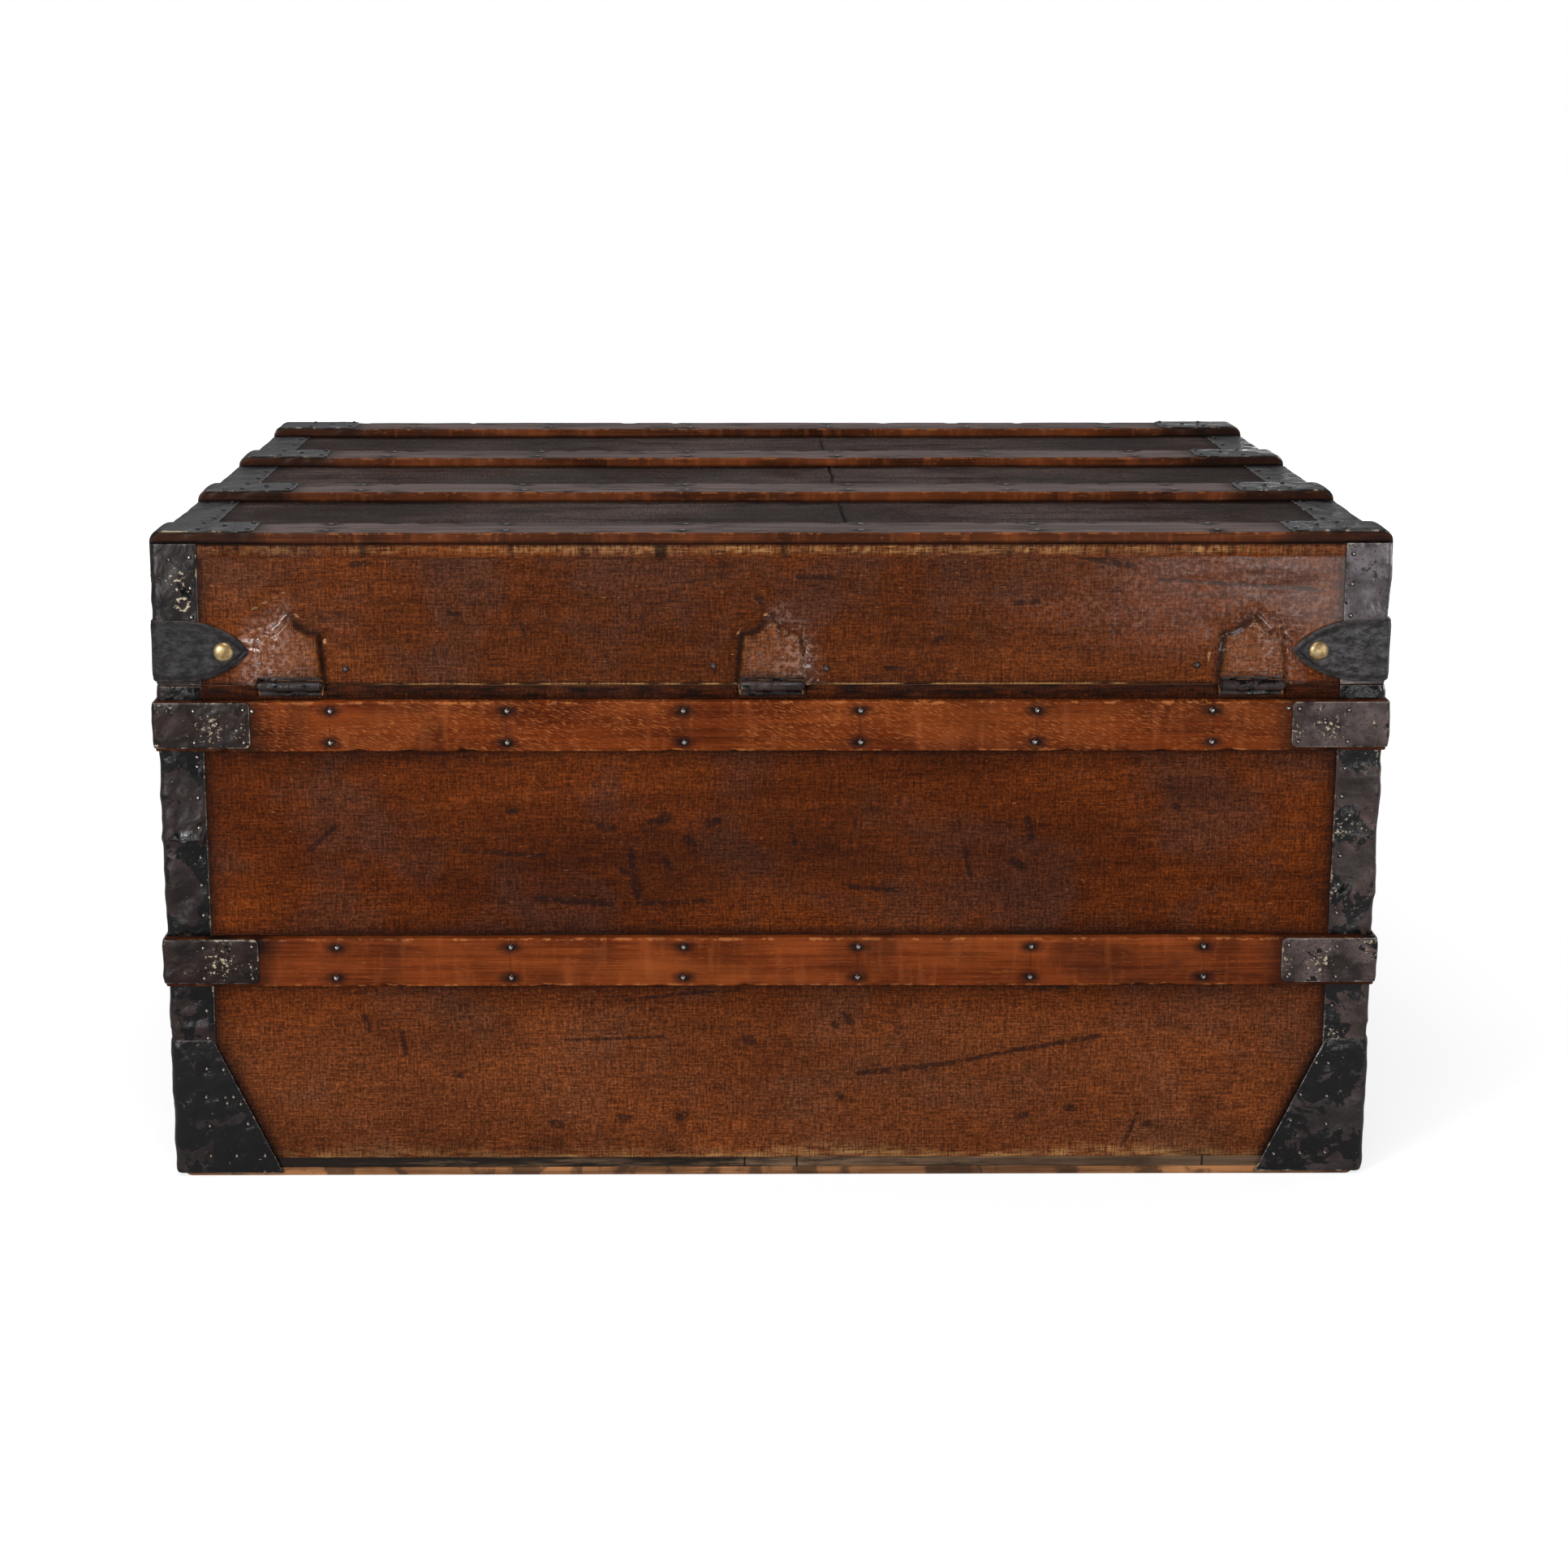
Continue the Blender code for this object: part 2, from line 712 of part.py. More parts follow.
def lid_canvas():
    """A canvas cap over the lid that swells over the three hinge leaves under it."""
    height = LID_CANVAS_TOP - LID_LOW
    middle = (0.0, 0.0, LID_LOW + height / 2)
    cloth = prism("lid_canvas", grown_box(CANVAS_OUT), height, CANVAS, at=middle)
    core_top = LID_BOARD_TOP + CANVAS_IN
    core_height = core_top - LID_LOW + OVERLAP
    core_middle = (0.0, 0.0, core_top - core_height / 2)
    core = prism("lid_core", grown_box(CANVAS_IN), core_height, home=CUTTERS, at=core_middle)
    cut(cloth, core)
    leaf_out = FIT + LEAF_THICK
    for index in range(len(HINGES)):
        x = hinge_x(index)
        bulge = tapered(
            f"bulge_{index}",
            leaf_outline(BULGE_SLOPE),
            leaf_outline(FIT + CANVAS_THICK),
            CANVAS_IN + FIT / 2,
            leaf_out + FIT + CANVAS_THICK,
        )
        pocket = tapered(
            f"leaf_pocket_{index}",
            leaf_outline(FIT),
            leaf_outline(FIT),
            -OVERLAP,
            leaf_out + FIT,
        )
        for piece in (bulge, pocket):
            piece.location = (x, -HALF_DEPTH, HINGE_AXIS.z)
        fuse(cloth, bulge)
        cut(cloth, pocket)
        gap_top = HINGE_AXIS.z + BARREL_RADIUS + LEAF_SHOWS
        cut(cloth, barrel_gap(x, LID_LOW - BULGE_SLOPE, gap_top))
    return cloth


# Slats, runners and their clamps
def slat(name, half_length, thick, finish_used):
    """A slat lying flat along X with round-ended top corners, its underside at z = 0."""
    corners = [(-half_length, 0.0), (half_length, 0.0), (half_length, thick), (-half_length, thick)]
    outline = rounded(corners, [0.0, 0.0, SLAT_END_RADIUS, SLAT_END_RADIUS])
    made = prism(name, outline, SLAT_WIDTH, finish_used, turn=UPRIGHT_X)
    ease(made, SLAT_EASE)
    return made


def clear_of_irons(piece, low, high):
    """Cuts a slat's two ends back between two (y, z) corners, so that they sit over the iron edging."""
    inner = HALF_WIDTH + IRON_IN - IRON_LEG - FIT
    for end in (-1, 1):
        near, far = sorted((end * inner, end * (HALF_WIDTH + SLAT_WIDTH)))
        cut(piece, box(piece.name + "_notch", (near, *low), (far, *high), home=CUTTERS))


def top_slat_y(index):
    first = -HALF_DEPTH - CANVAS_OUT + SLAT_WIDTH / 2
    return first - 2 * first * index / (TOP_SLATS - 1)


def top_slats():
    half_length = HALF_WIDTH + IRON_IN + LID_CLAMP_SEAT + FIT
    under = LID_BOARD_TOP + SLAT_IN
    made = []
    for index in range(TOP_SLATS):
        y = top_slat_y(index)
        piece = slat(f"lid_slat_{index + 1}", half_length, SLAT_THICK, SLAT_WOOD)
        piece.location = (0.0, y, under)
        low = (y - SLAT_WIDTH, under - OVERLAP)
        high = (y + SLAT_WIDTH, LID_BOARD_TOP + OVER_IRON)
        clear_of_irons(piece, low, high)
        made.append(piece)
    return made


def case_slat_z(drop):
    return JOINT_Z - drop - SLAT_WIDTH / 2


def case_slats():
    """Two slats on the back and two on the front, standing on edge against the canvas."""
    half_length = HALF_WIDTH + IRON_OUT + SLAT_OVERHANG
    made = []
    for face in (-1, 1):
        inner_y, outer_y = face * (HALF_DEPTH + SLAT_IN), face * (HALF_DEPTH + SLAT_OUT)
        corners = [
            (-half_length, inner_y),
            (half_length, inner_y),
            (half_length, outer_y),
            (-half_length, outer_y),
        ]
        outline = rounded(corners, [0.0, 0.0, CLAMP_BEND, CLAMP_BEND])
        notch_y = sorted((inner_y - face * OVERLAP, face * (HALF_DEPTH + OVER_IRON)))
        for level, drop in CASE_SLAT_DROPS.items():
            z = case_slat_z(drop)
            name = f"{side_name(face, 'back', 'front')}_slat_{level}"
            piece = prism(name, outline, SLAT_WIDTH, SLAT_WOOD, at=(0.0, 0.0, z))
            ease(piece, SLAT_EASE)
            low, high = (notch_y[0], z - SLAT_WIDTH), (notch_y[1], z + SLAT_WIDTH)
            clear_of_irons(piece, low, high)
            made.append(piece)
    return made


def bottom_runners():
    made = []
    inset = HALF_DEPTH + CANVAS_OUT - SLAT_WIDTH / 2
    for name, y in (("rear", -inset), ("middle", 0.0), ("front", inset)):
        half_length = HALF_WIDTH - RUNNER_SETBACK
        piece = slat(f"bottom_runner_{name}", half_length, RUNNER_THICK, SLAT_WOOD)
        piece.rotation_euler = UNDERSIDE_UP
        piece.location = (0.0, y, RUNNER_THICK)
        made.append(piece)
    return made


def case_clamps():
    """An iron strap at each slat end that bends round the corner on to the trunk's end."""
    made = []
    for end, face in CORNERS:
        x = end * (HALF_WIDTH + IRON_OUT + SLAT_OVERHANG + FIT)
        y = face * (HALF_DEPTH + SLAT_OUT + FIT)
        corners = [(x, face * (HALF_DEPTH - CLAMP_FLANGE)), (x, y), (x - end * CASE_CLAMP_REACH, y)]
        path = bent_path(corners, CLAMP_BEND + FIT)
        if end * face < 0:
            path.reverse()
        for level, drop in CASE_SLAT_DROPS.items():
            top = JOINT_Z - drop - CLAMP_TOP_MARGIN
            name = f"{corner_name(end, face)}_clamp_{level}"
            made.append(strip(name, path, top - CLAMP_WIDTH, top, CLAMP_THICK, BLACK_IRON))
    return made


# Iron edging and corners
def case_edge_irons():
    """Angle irons down the four upright corners of the case, under the slats."""
    made = []
    for end, face in CORNERS:
        name = f"case_edge_iron_{corner_name(end, face)}"
        path = corner_path(end, face, IRON_IN, IRON_LEG)
        made.append(strip(name, path, BOTTOM_LOW, JOINT_Z - FIT, IRON_THICK, BLACK_IRON))
    return made


def corner_iron_top(x, y):
    """The sloping upper edge: full height by the corner, down to a blunt toe along the bottom."""
    reach = from_corner(x, y, OVER_IRON)
    share = (CORNER_IRON_TOE - reach) / (CORNER_IRON_TOE - IRON_LEG)
    span = CORNER_IRON_HEIGHT - CORNER_IRON_BLUNT
    return CORNER_IRON_LIFT + CORNER_IRON_BLUNT + span * min(1.0, max(0.0, share))


def corner_irons():
    """Three-sided irons folded round the bottom corners, over the foot of the angle irons."""
    made = []
    for end, face in CORNERS:
        x, y = end * (HALF_WIDTH + OVER_IRON), face * (HALF_DEPTH + OVER_IRON)
        corners = [
            (x, y - face * CORNER_IRON_TOE),
            (x, y - face * IRON_LEG),
            (x, y),
            (x - end * IRON_LEG, y),
            (x - end * CORNER_IRON_TOE, y),
        ]
        bend = fillet(corners[1], corners[2], corners[3], CORNER_RADIUS + OVER_IRON)
        path = corners[:2] + bend + corners[3:]
        if end * face < 0:
            path.reverse()
        made.append(
            bent_sheet(
                f"corner_iron_{corner_name(end, face)}",
                path,
                lambda u, v: CORNER_IRON_LIFT,
                corner_iron_top,
                IRON_THICK,
                BLACK_IRON,
            )
        )
    return made


def lid_edge_irons():
    """Angle irons down the lid's corners; on the ends they stop below the end iron's flange."""
    made = []
    flange_low = LID_CANVAS_TOP - IRON_LEG - FIT
    first_bend = (CORNER_RADIUS + IRON_IN) * math.sin(math.radians(90 / BEND_STEPS))
    cut_back = HALF_DEPTH - CORNER_RADIUS + first_bend + FIT / 2
    for end, face in CORNERS:
        made.append(
            bent_sheet(
                f"lid_edge_iron_{corner_name(end, face)}",
                corner_path(end, face, IRON_IN, IRON_LEG),
                lambda x, y: LID_LOW,
                lambda x, y: flange_low if abs(y) < cut_back else LID_CANVAS_TOP,
                IRON_THICK,
                BLACK_IRON,
            )
        )
    return made


def lid_clamp_path(end, seat):
    """From the top of a slat round its end and down the end of the lid."""
    top = LID_SLAT_TOP + FIT
    corners = [(seat - end * LID_CLAMP_REACH, top), (seat, top), (seat, LID_BOARD_TOP - CLAMP_FLANGE)]
    path = bent_path(corners, SLAT_END_RADIUS + FIT)
    return path[::-1] if end > 0 else path


def lid_end_irons():
    """An angle iron along each end of the lid's top, with the clamps of the four slats on it."""
    made = []
    half = HALF_DEPTH - CORNER_RADIUS
    for end in (-1, 1):
        name = side_name(end, "lid_end_iron_left", "lid_end_iron_right")
        x, z = end * (HALF_WIDTH + IRON_IN), LID_BOARD_TOP + IRON_IN
        edge = [(x - end * IRON_LEG, z), (x, z), (x, LID_CANVAS_TOP - IRON_LEG)]
        path = bent_path(edge, FIT)
        if end > 0:
            path.reverse()
        iron = strip(name, path, -half, half, IRON_THICK, BLACK_IRON, turn=UPRIGHT_X)
        clamp_path = lid_clamp_path(end, x + end * (IRON_THICK - LID_CLAMP_SEAT))
        for index in range(TOP_SLATS):
            low = -top_slat_y(index) - CLAMP_WIDTH / 2
            high = low + CLAMP_WIDTH
            piece = f"{name}_clamp_{index + 1}"
            over = strip(piece, clamp_path, low, high, CLAMP_THICK, home=CUTTERS, turn=UPRIGHT_X)
            fuse(iron, over)
        made.append(iron)
    return made


# Leather guards
def guard_half_height(reach):
    """Half the guard's height at a distance from the corner: straight, then a swelling tongue."""
    from_tip = min(1.0, max(0.0, (GUARD_REACH - reach) / GUARD_TONGUE))
    return GUARD_HALF_HEIGHT * max(0.02, (1.0 - (1.0 - from_tip) ** 2) ** GUARD_SWELL)


def leather_guards():
    """Thick leather folded round each back corner of the lid, with a stud in either tongue."""
    made = []
    middle = LID_LOW + GUARD_LIFT + GUARD_HALF_HEIGHT
    columns = 9
    for end in (-1, 1):
        x, y = end * (HALF_WIDTH + OVER_IRON), -HALF_DEPTH - OVER_IRON
        reaches = [
            GUARD_REACH - GUARD_TONGUE * (step / columns) ** 1.6 for step in range(columns + 1)
        ]
        bend = fillet((x, 0.0), (x, y), (0.0, y), CORNER_RADIUS + OVER_IRON)
        path = [(x, y + reach) for reach in reaches] + bend
        path += [(x - end * reach, y) for reach in reversed(reaches)]
        if end > 0:
            path.reverse()

        def half(u, v):
            return guard_half_height(from_corner(u, v, OVER_IRON))

        guard = bent_sheet(
            side_name(end, "leather_guard_left", "leather_guard_right"),
            path,
            lambda u, v: middle - half(u, v),
            lambda u, v: middle + half(u, v),
            LEATHER_THICK,
            LEATHER,
        )
        out = OVER_IRON + LEATHER_THICK
        stud_reach = GUARD_REACH - STUD_INSET
        dome = [
            (0.0, STUD_RISE),
            (0.5 * STUD_RADIUS, 0.84 * STUD_RISE),
            (0.85 * STUD_RADIUS, 0.45 * STUD_RISE),
            (STUD_RADIUS, 0.0),
            (STUD_RADIUS, -FIT),
            (0.0, -FIT),
        ]
        back_stud = turned(
            guard.name + "_back_stud",
            dome,
            home=CUTTERS,
            along="Y",
            at=(x - end * stud_reach, -HALF_DEPTH - out, middle),
        )
        end_stud = turned(
            guard.name + "_end_stud",
            dome,
            home=CUTTERS,
            at=(end * (HALF_WIDTH + out), y + stud_reach, middle),
        )
        end_stud.rotation_euler = (0.0, end * math.radians(90), 0.0)
        fuse(guard, back_stud, end_stud)
        made.append(guard)
    return made


# Handles
def handle_plate(end):
    """A long iron plate on the trunk's end, with two lugs that carry the handle's pins."""
    name = side_name(end, "handle_plate_left", "handle_plate_right")
    half = HANDLE_PLATE_LENGTH / 2
    outline = rectangle(half, HANDLE_PLATE_WIDTH / 2, HANDLE_PLATE_WIDTH / 2.5)
    face = HALF_WIDTH + CANVAS_OUT + FIT
    at = (end * (face + HANDLE_PLATE_THICK / 2), 0.0, HANDLE_HEIGHT)
    plate = prism(name, outline, HANDLE_PLATE_THICK, BLACK_IRON, turn=UPRIGHT_Y, at=at)
    axis = end * (HALF_WIDTH + HANDLE_OUT)
    foot = end * (face + HANDLE_PLATE_THICK / 2)
    tip = axis + end * HANDLE_LUG_RADIUS
    reach = HANDLE_LUG_RADIUS
    corners = [(foot, -reach), (tip, -reach), (tip, reach), (foot, reach)]
    lug_outline = rounded(corners, [0.0, 0.95 * reach, 0.95 * reach, 0.0])
    for side in (-1, 1):
        middle = side * HANDLE_LUG_SPACING / 2
        lug = prism(
            f"{name}_lug_{side}",
            lug_outline,
            HANDLE_LUG_THICK,
            home=CUTTERS,
            turn=UPRIGHT_X,
            at=(0.0, middle, HANDLE_HEIGHT),
        )
        bore = rod(
            f"{name}_bore_{side}",
            HANDLE_PIN_RADIUS + 2 * PIVOT_CLEAR,
            2 * HANDLE_LUG_THICK,
            home=CUTTERS,
            along="Y",
            at=(axis, middle, HANDLE_HEIGHT),
        )
        fuse(plate, lug)
        cut(plate, bore)
    return plate


def handle_grip(end):
    """A leather bail that hangs from the lugs: thin at its ends and full in the hand."""
    name = side_name(end, "handle_left", "handle_right")
    at = (end * (HALF_WIDTH + HANDLE_OUT), 0.0, HANDLE_HEIGHT)
    shoulder = HANDLE_LUG_SPACING / 2 - HANDLE_LUG_THICK / 2 - HANDLE_END_RADIUS - 2 * FIT
    curve = bpy.data.curves.new(name, "CURVE")
    curve.dimensions = "3D"
    curve.bevel_depth = HANDLE_GRIP_RADIUS
    curve.bevel_resolution = 3
    curve.use_fill_caps = True
    spline = curve.splines.new("POLY")
    spline.points.add(HANDLE_STATIONS)
    for step, point in enumerate(spline.points):
        turn = math.pi * step / HANDLE_STATIONS
        across = math.copysign(abs(math.cos(turn)) ** HANDLE_SQUARENESS, math.cos(turn))
        fullness = math.sin(turn) ** HANDLE_SWELL
        swell = HANDLE_END_RADIUS + (HANDLE_GRIP_RADIUS - HANDLE_END_RADIUS) * fullness
        point.co = (0.0, shoulder * across, -HANDLE_DROP * fullness, 1.0)
        point.radius = swell / HANDLE_GRIP_RADIUS
    grip = place(name, meshed(name, curve), BROWN_LEATHER)
    grip.location = at
    pin_out = HANDLE_LUG_SPACING / 2 + HANDLE_LUG_THICK / 2 + 2 * FIT
    pin_in = shoulder - HANDLE_END_RADIUS / 2
    head = pin_out + HANDLE_LUG_THICK / 2
    boss = HANDLE_LUG_SPACING / 2 - HANDLE_LUG_THICK / 2 - FIT
    profile = [
        (0.0, head),
        (HANDLE_PIN_HEAD, head),
        (HANDLE_PIN_HEAD, pin_out),
        (HANDLE_PIN_RADIUS, pin_out),
        (HANDLE_PIN_RADIUS, boss),
        (HANDLE_END_RADIUS + FIT, boss),
        (HANDLE_END_RADIUS + FIT, pin_in),
        (0.0, pin_in),
    ]
    for side in (-1, 1):
        pin = turned(f"{name}_pin_{side}", profile, home=CUTTERS, along="Y", at=at)
        if side > 0:
            pin.rotation_euler = (math.radians(-90), 0.0, 0.0)
        fuse(grip, pin)
    shade_round(grip)
    return grip


# Lock and hasp
def lock_body():
    """A flat lock screwed to the upper front slat, with a slot for the hasp's staple and a keyhole."""
    z = case_slat_z(CASE_SLAT_DROPS["upper"])
    low_y = HALF_DEPTH + SLAT_OUT + FIT
    at = (0.0, low_y + LOCK_THICK / 2, z)
    outline = rectangle(LOCK_WIDTH / 2, LOCK_HEIGHT / 2, LOCK_CORNER)
    lock = prism("lock_body", outline, LOCK_THICK, BRASS, turn=UPRIGHT_X, at=at)
    face_y = low_y + LOCK_THICK
    slot = box(
        "staple_slot",
        (-LOCK_SLOT_WIDTH / 2, face_y - LOCK_SLOT_DEPTH, staple_z() - STAPLE_HEIGHT / 2 - 2 * FIT),
        (LOCK_SLOT_WIDTH / 2, face_y + OVERLAP, z + LOCK_HEIGHT),
        home=CUTTERS,
    )
    keyhole = rod(
        "keyhole",
        KEYHOLE_RADIUS,
        LOCK_THICK,
        home=CUTTERS,
        along="Y",
        at=(KEYHOLE_OFFSET, face_y, z + KEYHOLE_RADIUS),
    )
    slit = box(
        "keyhole_slit",
        (KEYHOLE_OFFSET - KEYHOLE_SLIT / 2, face_y - LOCK_THICK / 2, z - 3 * KEYHOLE_RADIUS),
        (KEYHOLE_OFFSET + KEYHOLE_SLIT / 2, face_y + OVERLAP, z + KEYHOLE_RADIUS),
        home=CUTTERS,
    )
    cut(lock, slot, keyhole, slit)
    return lock


def staple_z():
    return case_slat_z(CASE_SLAT_DROPS["upper"]) - STAPLE_HEIGHT / 4


def hasp_plate():
    """The plate on the lid's front that carries the hasp between two knuckles on a fixed pin."""
    low = HASP_BARREL_RADIUS + FIT
    half = HASP_PLATE_HALF_WIDTH
    outline = rounded(
        [(-half, low), (half, low), (half, HASP_PLATE_HEIGHT), (-half, HASP_PLATE_HEIGHT)],
        [0.0, 0.0, half / 2, half / 2],
    )
    plate_y = HALF_DEPTH + IRON_IN + HASP_PLATE_THICK / 2
    at = (0.0, plate_y, HASP_AXIS.z)
    plate = prism("hasp_plate", outline, HASP_PLATE_THICK, BRASS, turn=UPRIGHT_X, at=at)
    pin = rod(
        "hasp_pin",
        HASP_PIN_RADIUS,
        2 * (HASP_PLATE_HALF_WIDTH - FIT),
        home=CUTTERS,
        at=tuple(HASP_AXIS),
    )
    inner = HASP_WIDTH / 2 + FIT
    length = HASP_PLATE_HALF_WIDTH - inner
    for side in (-1, 1):
        middle = side * (inner + length / 2)
        knuckle = rod(
            f"hasp_plate_knuckle_{side}",
            HASP_BARREL_RADIUS,
            length,
            home=CUTTERS,
            at=(middle, HASP_AXIS.y, HASP_AXIS.z),
        )
        tab = box(
            f"hasp_plate_tab_{side}",
            (middle - length / 2 + FIT, plate_y - HASP_PLATE_THICK / 2 + FIT / 3, HASP_AXIS.z),
            (
                middle + length / 2 - FIT,
                plate_y + HASP_PLATE_THICK / 2 - FIT / 3,
                HASP_AXIS.z + 2 * HASP_BARREL_RADIUS,
            ),
            home=CUTTERS,
        )
        fuse(plate, tab, knuckle)
    fuse(plate, pin)
    return plate


def hasp():
    """A cranked strap that hangs over the lock, with a staple behind it for the slot."""
    face = HALF_DEPTH + SLAT_OUT + LOCK_THICK + 2 * FIT
    top = case_slat_z(CASE_SLAT_DROPS["upper"]) + LOCK_HEIGHT / 2
    shoulder = top + HASP_THICK
    start_y, start_z = HASP_AXIS.y + HASP_PIN_RADIUS + 2 * PIVOT_CLEAR, HASP_AXIS.z
    crank = [
        (face, top - HASP_LENGTH),
        (face, shoulder),
        (start_y + HASP_THICK, start_z - 2 * HASP_THICK),
        (start_y, start_z),
    ]
    half = HASP_WIDTH / 2
    path = bent_path(crank, HASP_THICK)
    arm = strip("hasp", path, -half, half, HASP_THICK, BRASS, turn=UPRIGHT_Y)
    knuckle = tube(
        "hasp_knuckle",
        HASP_PIN_RADIUS + PIVOT_CLEAR,
        HASP_BARREL_RADIUS,
        HASP_WIDTH,
        home=CUTTERS,
        at=tuple(HASP_AXIS),
    )
    staple = box(
        "hasp_staple",
        (-STAPLE_WIDTH / 2, face - STAPLE_DEPTH, staple_z() - STAPLE_HEIGHT / 2),
        (STAPLE_WIDTH / 2, face + HASP_THICK / 2, staple_z() + STAPLE_HEIGHT / 2),
        home=CUTTERS,
    )
    fuse(arm, knuckle, staple)
    return arm


# Assembly: every moving group hangs from an empty on its own axis
def axis_empty(name, at, parent=None):
    empty = bpy.data.objects.new(name, None)
    TRUNK.objects.link(empty)
    empty.location = at
    if parent:
        bpy.context.view_layer.update()
        empty.parent = parent
        empty.matrix_parent_inverse = parent.matrix_world.inverted()
    return empty


def hang(empty, pieces):
    bpy.context.view_layer.update()
    for piece in pieces:
        piece.parent = empty
        piece.matrix_parent_inverse = empty.matrix_world.inverted()


def build():
    case = axis_empty("case", (0.0, 0.0, 0.0))
    lid = axis_empty("lid_axis", HINGE_AXIS, case)
    hasp_axis = axis_empty("hasp_axis", HASP_AXIS, lid)

    boards = case_boards()
    fixed = boards + [bottom_board(), case_canvas(), lock_body()]
    fixed += bottom_runners() + case_slats() + case_clamps() + case_edge_irons() + corner_irons()
    moving = [lid_frame(), lid_top_board(), lid_canvas(), hasp_plate()]
    moving += top_slats() + lid_end_irons() + lid_edge_irons() + leather_guards()
    for index, side in enumerate(HINGES):
        x = hinge_x(index)
        cut(boards[0], hinge_mortise(x))
        fixed += [case_leaf(f"hinge_case_leaf_{side}", x), hinge_pin(f"hinge_pin_{side}", x)]
        moving.append(lid_leaf(f"hinge_lid_leaf_{side}", x))
    for end in (-1, 1):
        name = side_name(end, "handle_axis_left", "handle_axis_right")
        axis = axis_empty(name, (end * (HALF_WIDTH + HANDLE_OUT), 0.0, HANDLE_HEIGHT), case)
        fixed.append(handle_plate(end))
        hang(axis, [handle_grip(end)])
    hang(case, fixed)
    hang(lid, moving)
    hang(hasp_axis, [hasp()])


build()
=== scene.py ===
# %% [markdown]
# # A slatted travelling trunk, seen from its hinge side
# The trunk is a box of thin boards under glued canvas. Wooden slats take the knocks, sheet iron covers
# every edge, and leather guards the back corners of the lid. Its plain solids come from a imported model
# that also holds the joints, so the first step loads that model. Everything made here is then hung on
# one of its moving bodies: the case, the lid, the hasp or a handle.

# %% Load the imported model
import json
import math
import random

import bmesh
import bpy
from mathutils import Matrix, Vector, noise


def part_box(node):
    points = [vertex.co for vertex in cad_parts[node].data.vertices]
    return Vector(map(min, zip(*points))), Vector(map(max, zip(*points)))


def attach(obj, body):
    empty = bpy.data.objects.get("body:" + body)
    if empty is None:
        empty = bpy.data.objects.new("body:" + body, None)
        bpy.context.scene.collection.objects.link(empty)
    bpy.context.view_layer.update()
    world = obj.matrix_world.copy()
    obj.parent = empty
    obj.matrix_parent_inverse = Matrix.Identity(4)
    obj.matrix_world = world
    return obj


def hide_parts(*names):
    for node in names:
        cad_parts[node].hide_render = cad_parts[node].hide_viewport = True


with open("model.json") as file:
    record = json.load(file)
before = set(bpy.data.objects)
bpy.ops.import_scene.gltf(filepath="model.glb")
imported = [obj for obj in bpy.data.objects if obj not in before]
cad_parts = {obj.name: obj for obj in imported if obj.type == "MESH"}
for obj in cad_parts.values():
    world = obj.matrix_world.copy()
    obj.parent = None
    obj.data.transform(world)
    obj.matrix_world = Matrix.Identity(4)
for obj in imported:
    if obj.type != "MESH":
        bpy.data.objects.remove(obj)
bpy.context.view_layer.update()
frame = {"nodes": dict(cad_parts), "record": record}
SCENE = bpy.context.scene

# %% [markdown]
# # The camera
# The picture was taken a little above the lid with a lens that looks down on it. Moving the camera close
# makes the far slats shorter than the near one, as in the picture. A small lens shift keeps the upright
# edges nearly upright; a larger one would push the trunk out of the frame in other views.

# %% Place the camera
CAMERA_AT = Vector((-0.0462, -1.95, 0.8374))
CAMERA_DOWN = math.radians(10.48)
CAMERA_TURN = math.radians(-0.27)
camera = bpy.data.objects.new("camera", bpy.data.cameras.new("camera"))
SCENE.collection.objects.link(camera)
SCENE.camera = camera
aim = Matrix.Rotation(CAMERA_TURN, 4, "Z") @ Matrix.Rotation(math.pi / 2 - CAMERA_DOWN, 4, "X")
camera.matrix_world = Matrix.Translation(CAMERA_AT) @ aim
camera.data.sensor_width = 36.0
camera.data.lens = 53.8
camera.data.shift_x = 0.041
camera.data.shift_y = -0.18
SCENE.view_settings.view_transform = "Standard"
print("lens:", round(camera.data.lens, 1), "mm")

# %% [markdown]
# # Nodes with less typing
# A material is a graph of nodes. Here one function adds a node to the tree that is open and gives back
# one of its outputs as a wire. Wires can be added and multiplied like numbers, and each sum adds the math
# node that works it out, so the recipes below read like plain sums.

# %% Wires and nodes
OPEN = {"tree": None}


class Wire:
    """One output of a node, ready for sums."""
    def __init__(self, socket):
        self.socket = socket

    def __add__(self, other):
        return calc("ADD", self, other)

    def __sub__(self, other):
        return calc("SUBTRACT", self, other)

    def __rsub__(self, other):
        return calc("SUBTRACT", other, self)

    def __mul__(self, other):
        return calc("MULTIPLY", self, other)

    def __truediv__(self, other):
        return calc("DIVIDE", self, other)

    def __pow__(self, other):
        return calc("POWER", self, other)

    def __abs__(self):
        return calc("ABSOLUTE", self)


def join(value, socket):
    """Joins a wire to a socket, or sets the socket to a plain value."""
    if isinstance(value, Wire):
        OPEN["tree"].links.new(value.socket, socket)
    else:
        socket.default_value = value


def node(kind, links=None, out=0, **settings):
    """Adds a node to the open tree and gives one of its outputs."""
    made = OPEN["tree"].nodes.new(kind)
    for key, value in settings.items():
        setattr(made, key, value)
    for key, value in (links or {}).items():
        join(value, made.inputs[key])
    return Wire(made.outputs[out])


def calc(operation, *values):
    return node("ShaderNodeMath", dict(enumerate(values)), operation=operation)


def most(first, *others):
    """The largest of several values."""
    for other in others:
        first = calc("MAXIMUM", first, other)
    return first


def vector(operation, first, second, out=0):
    return node("ShaderNodeVectorMath", {0: first, 1: second}, out, operation=operation)


def split(point):
    """The x, y and z of a vector."""
    return [Wire(part) for part in node("ShaderNodeSeparateXYZ", {0: point}).socket.node.outputs]


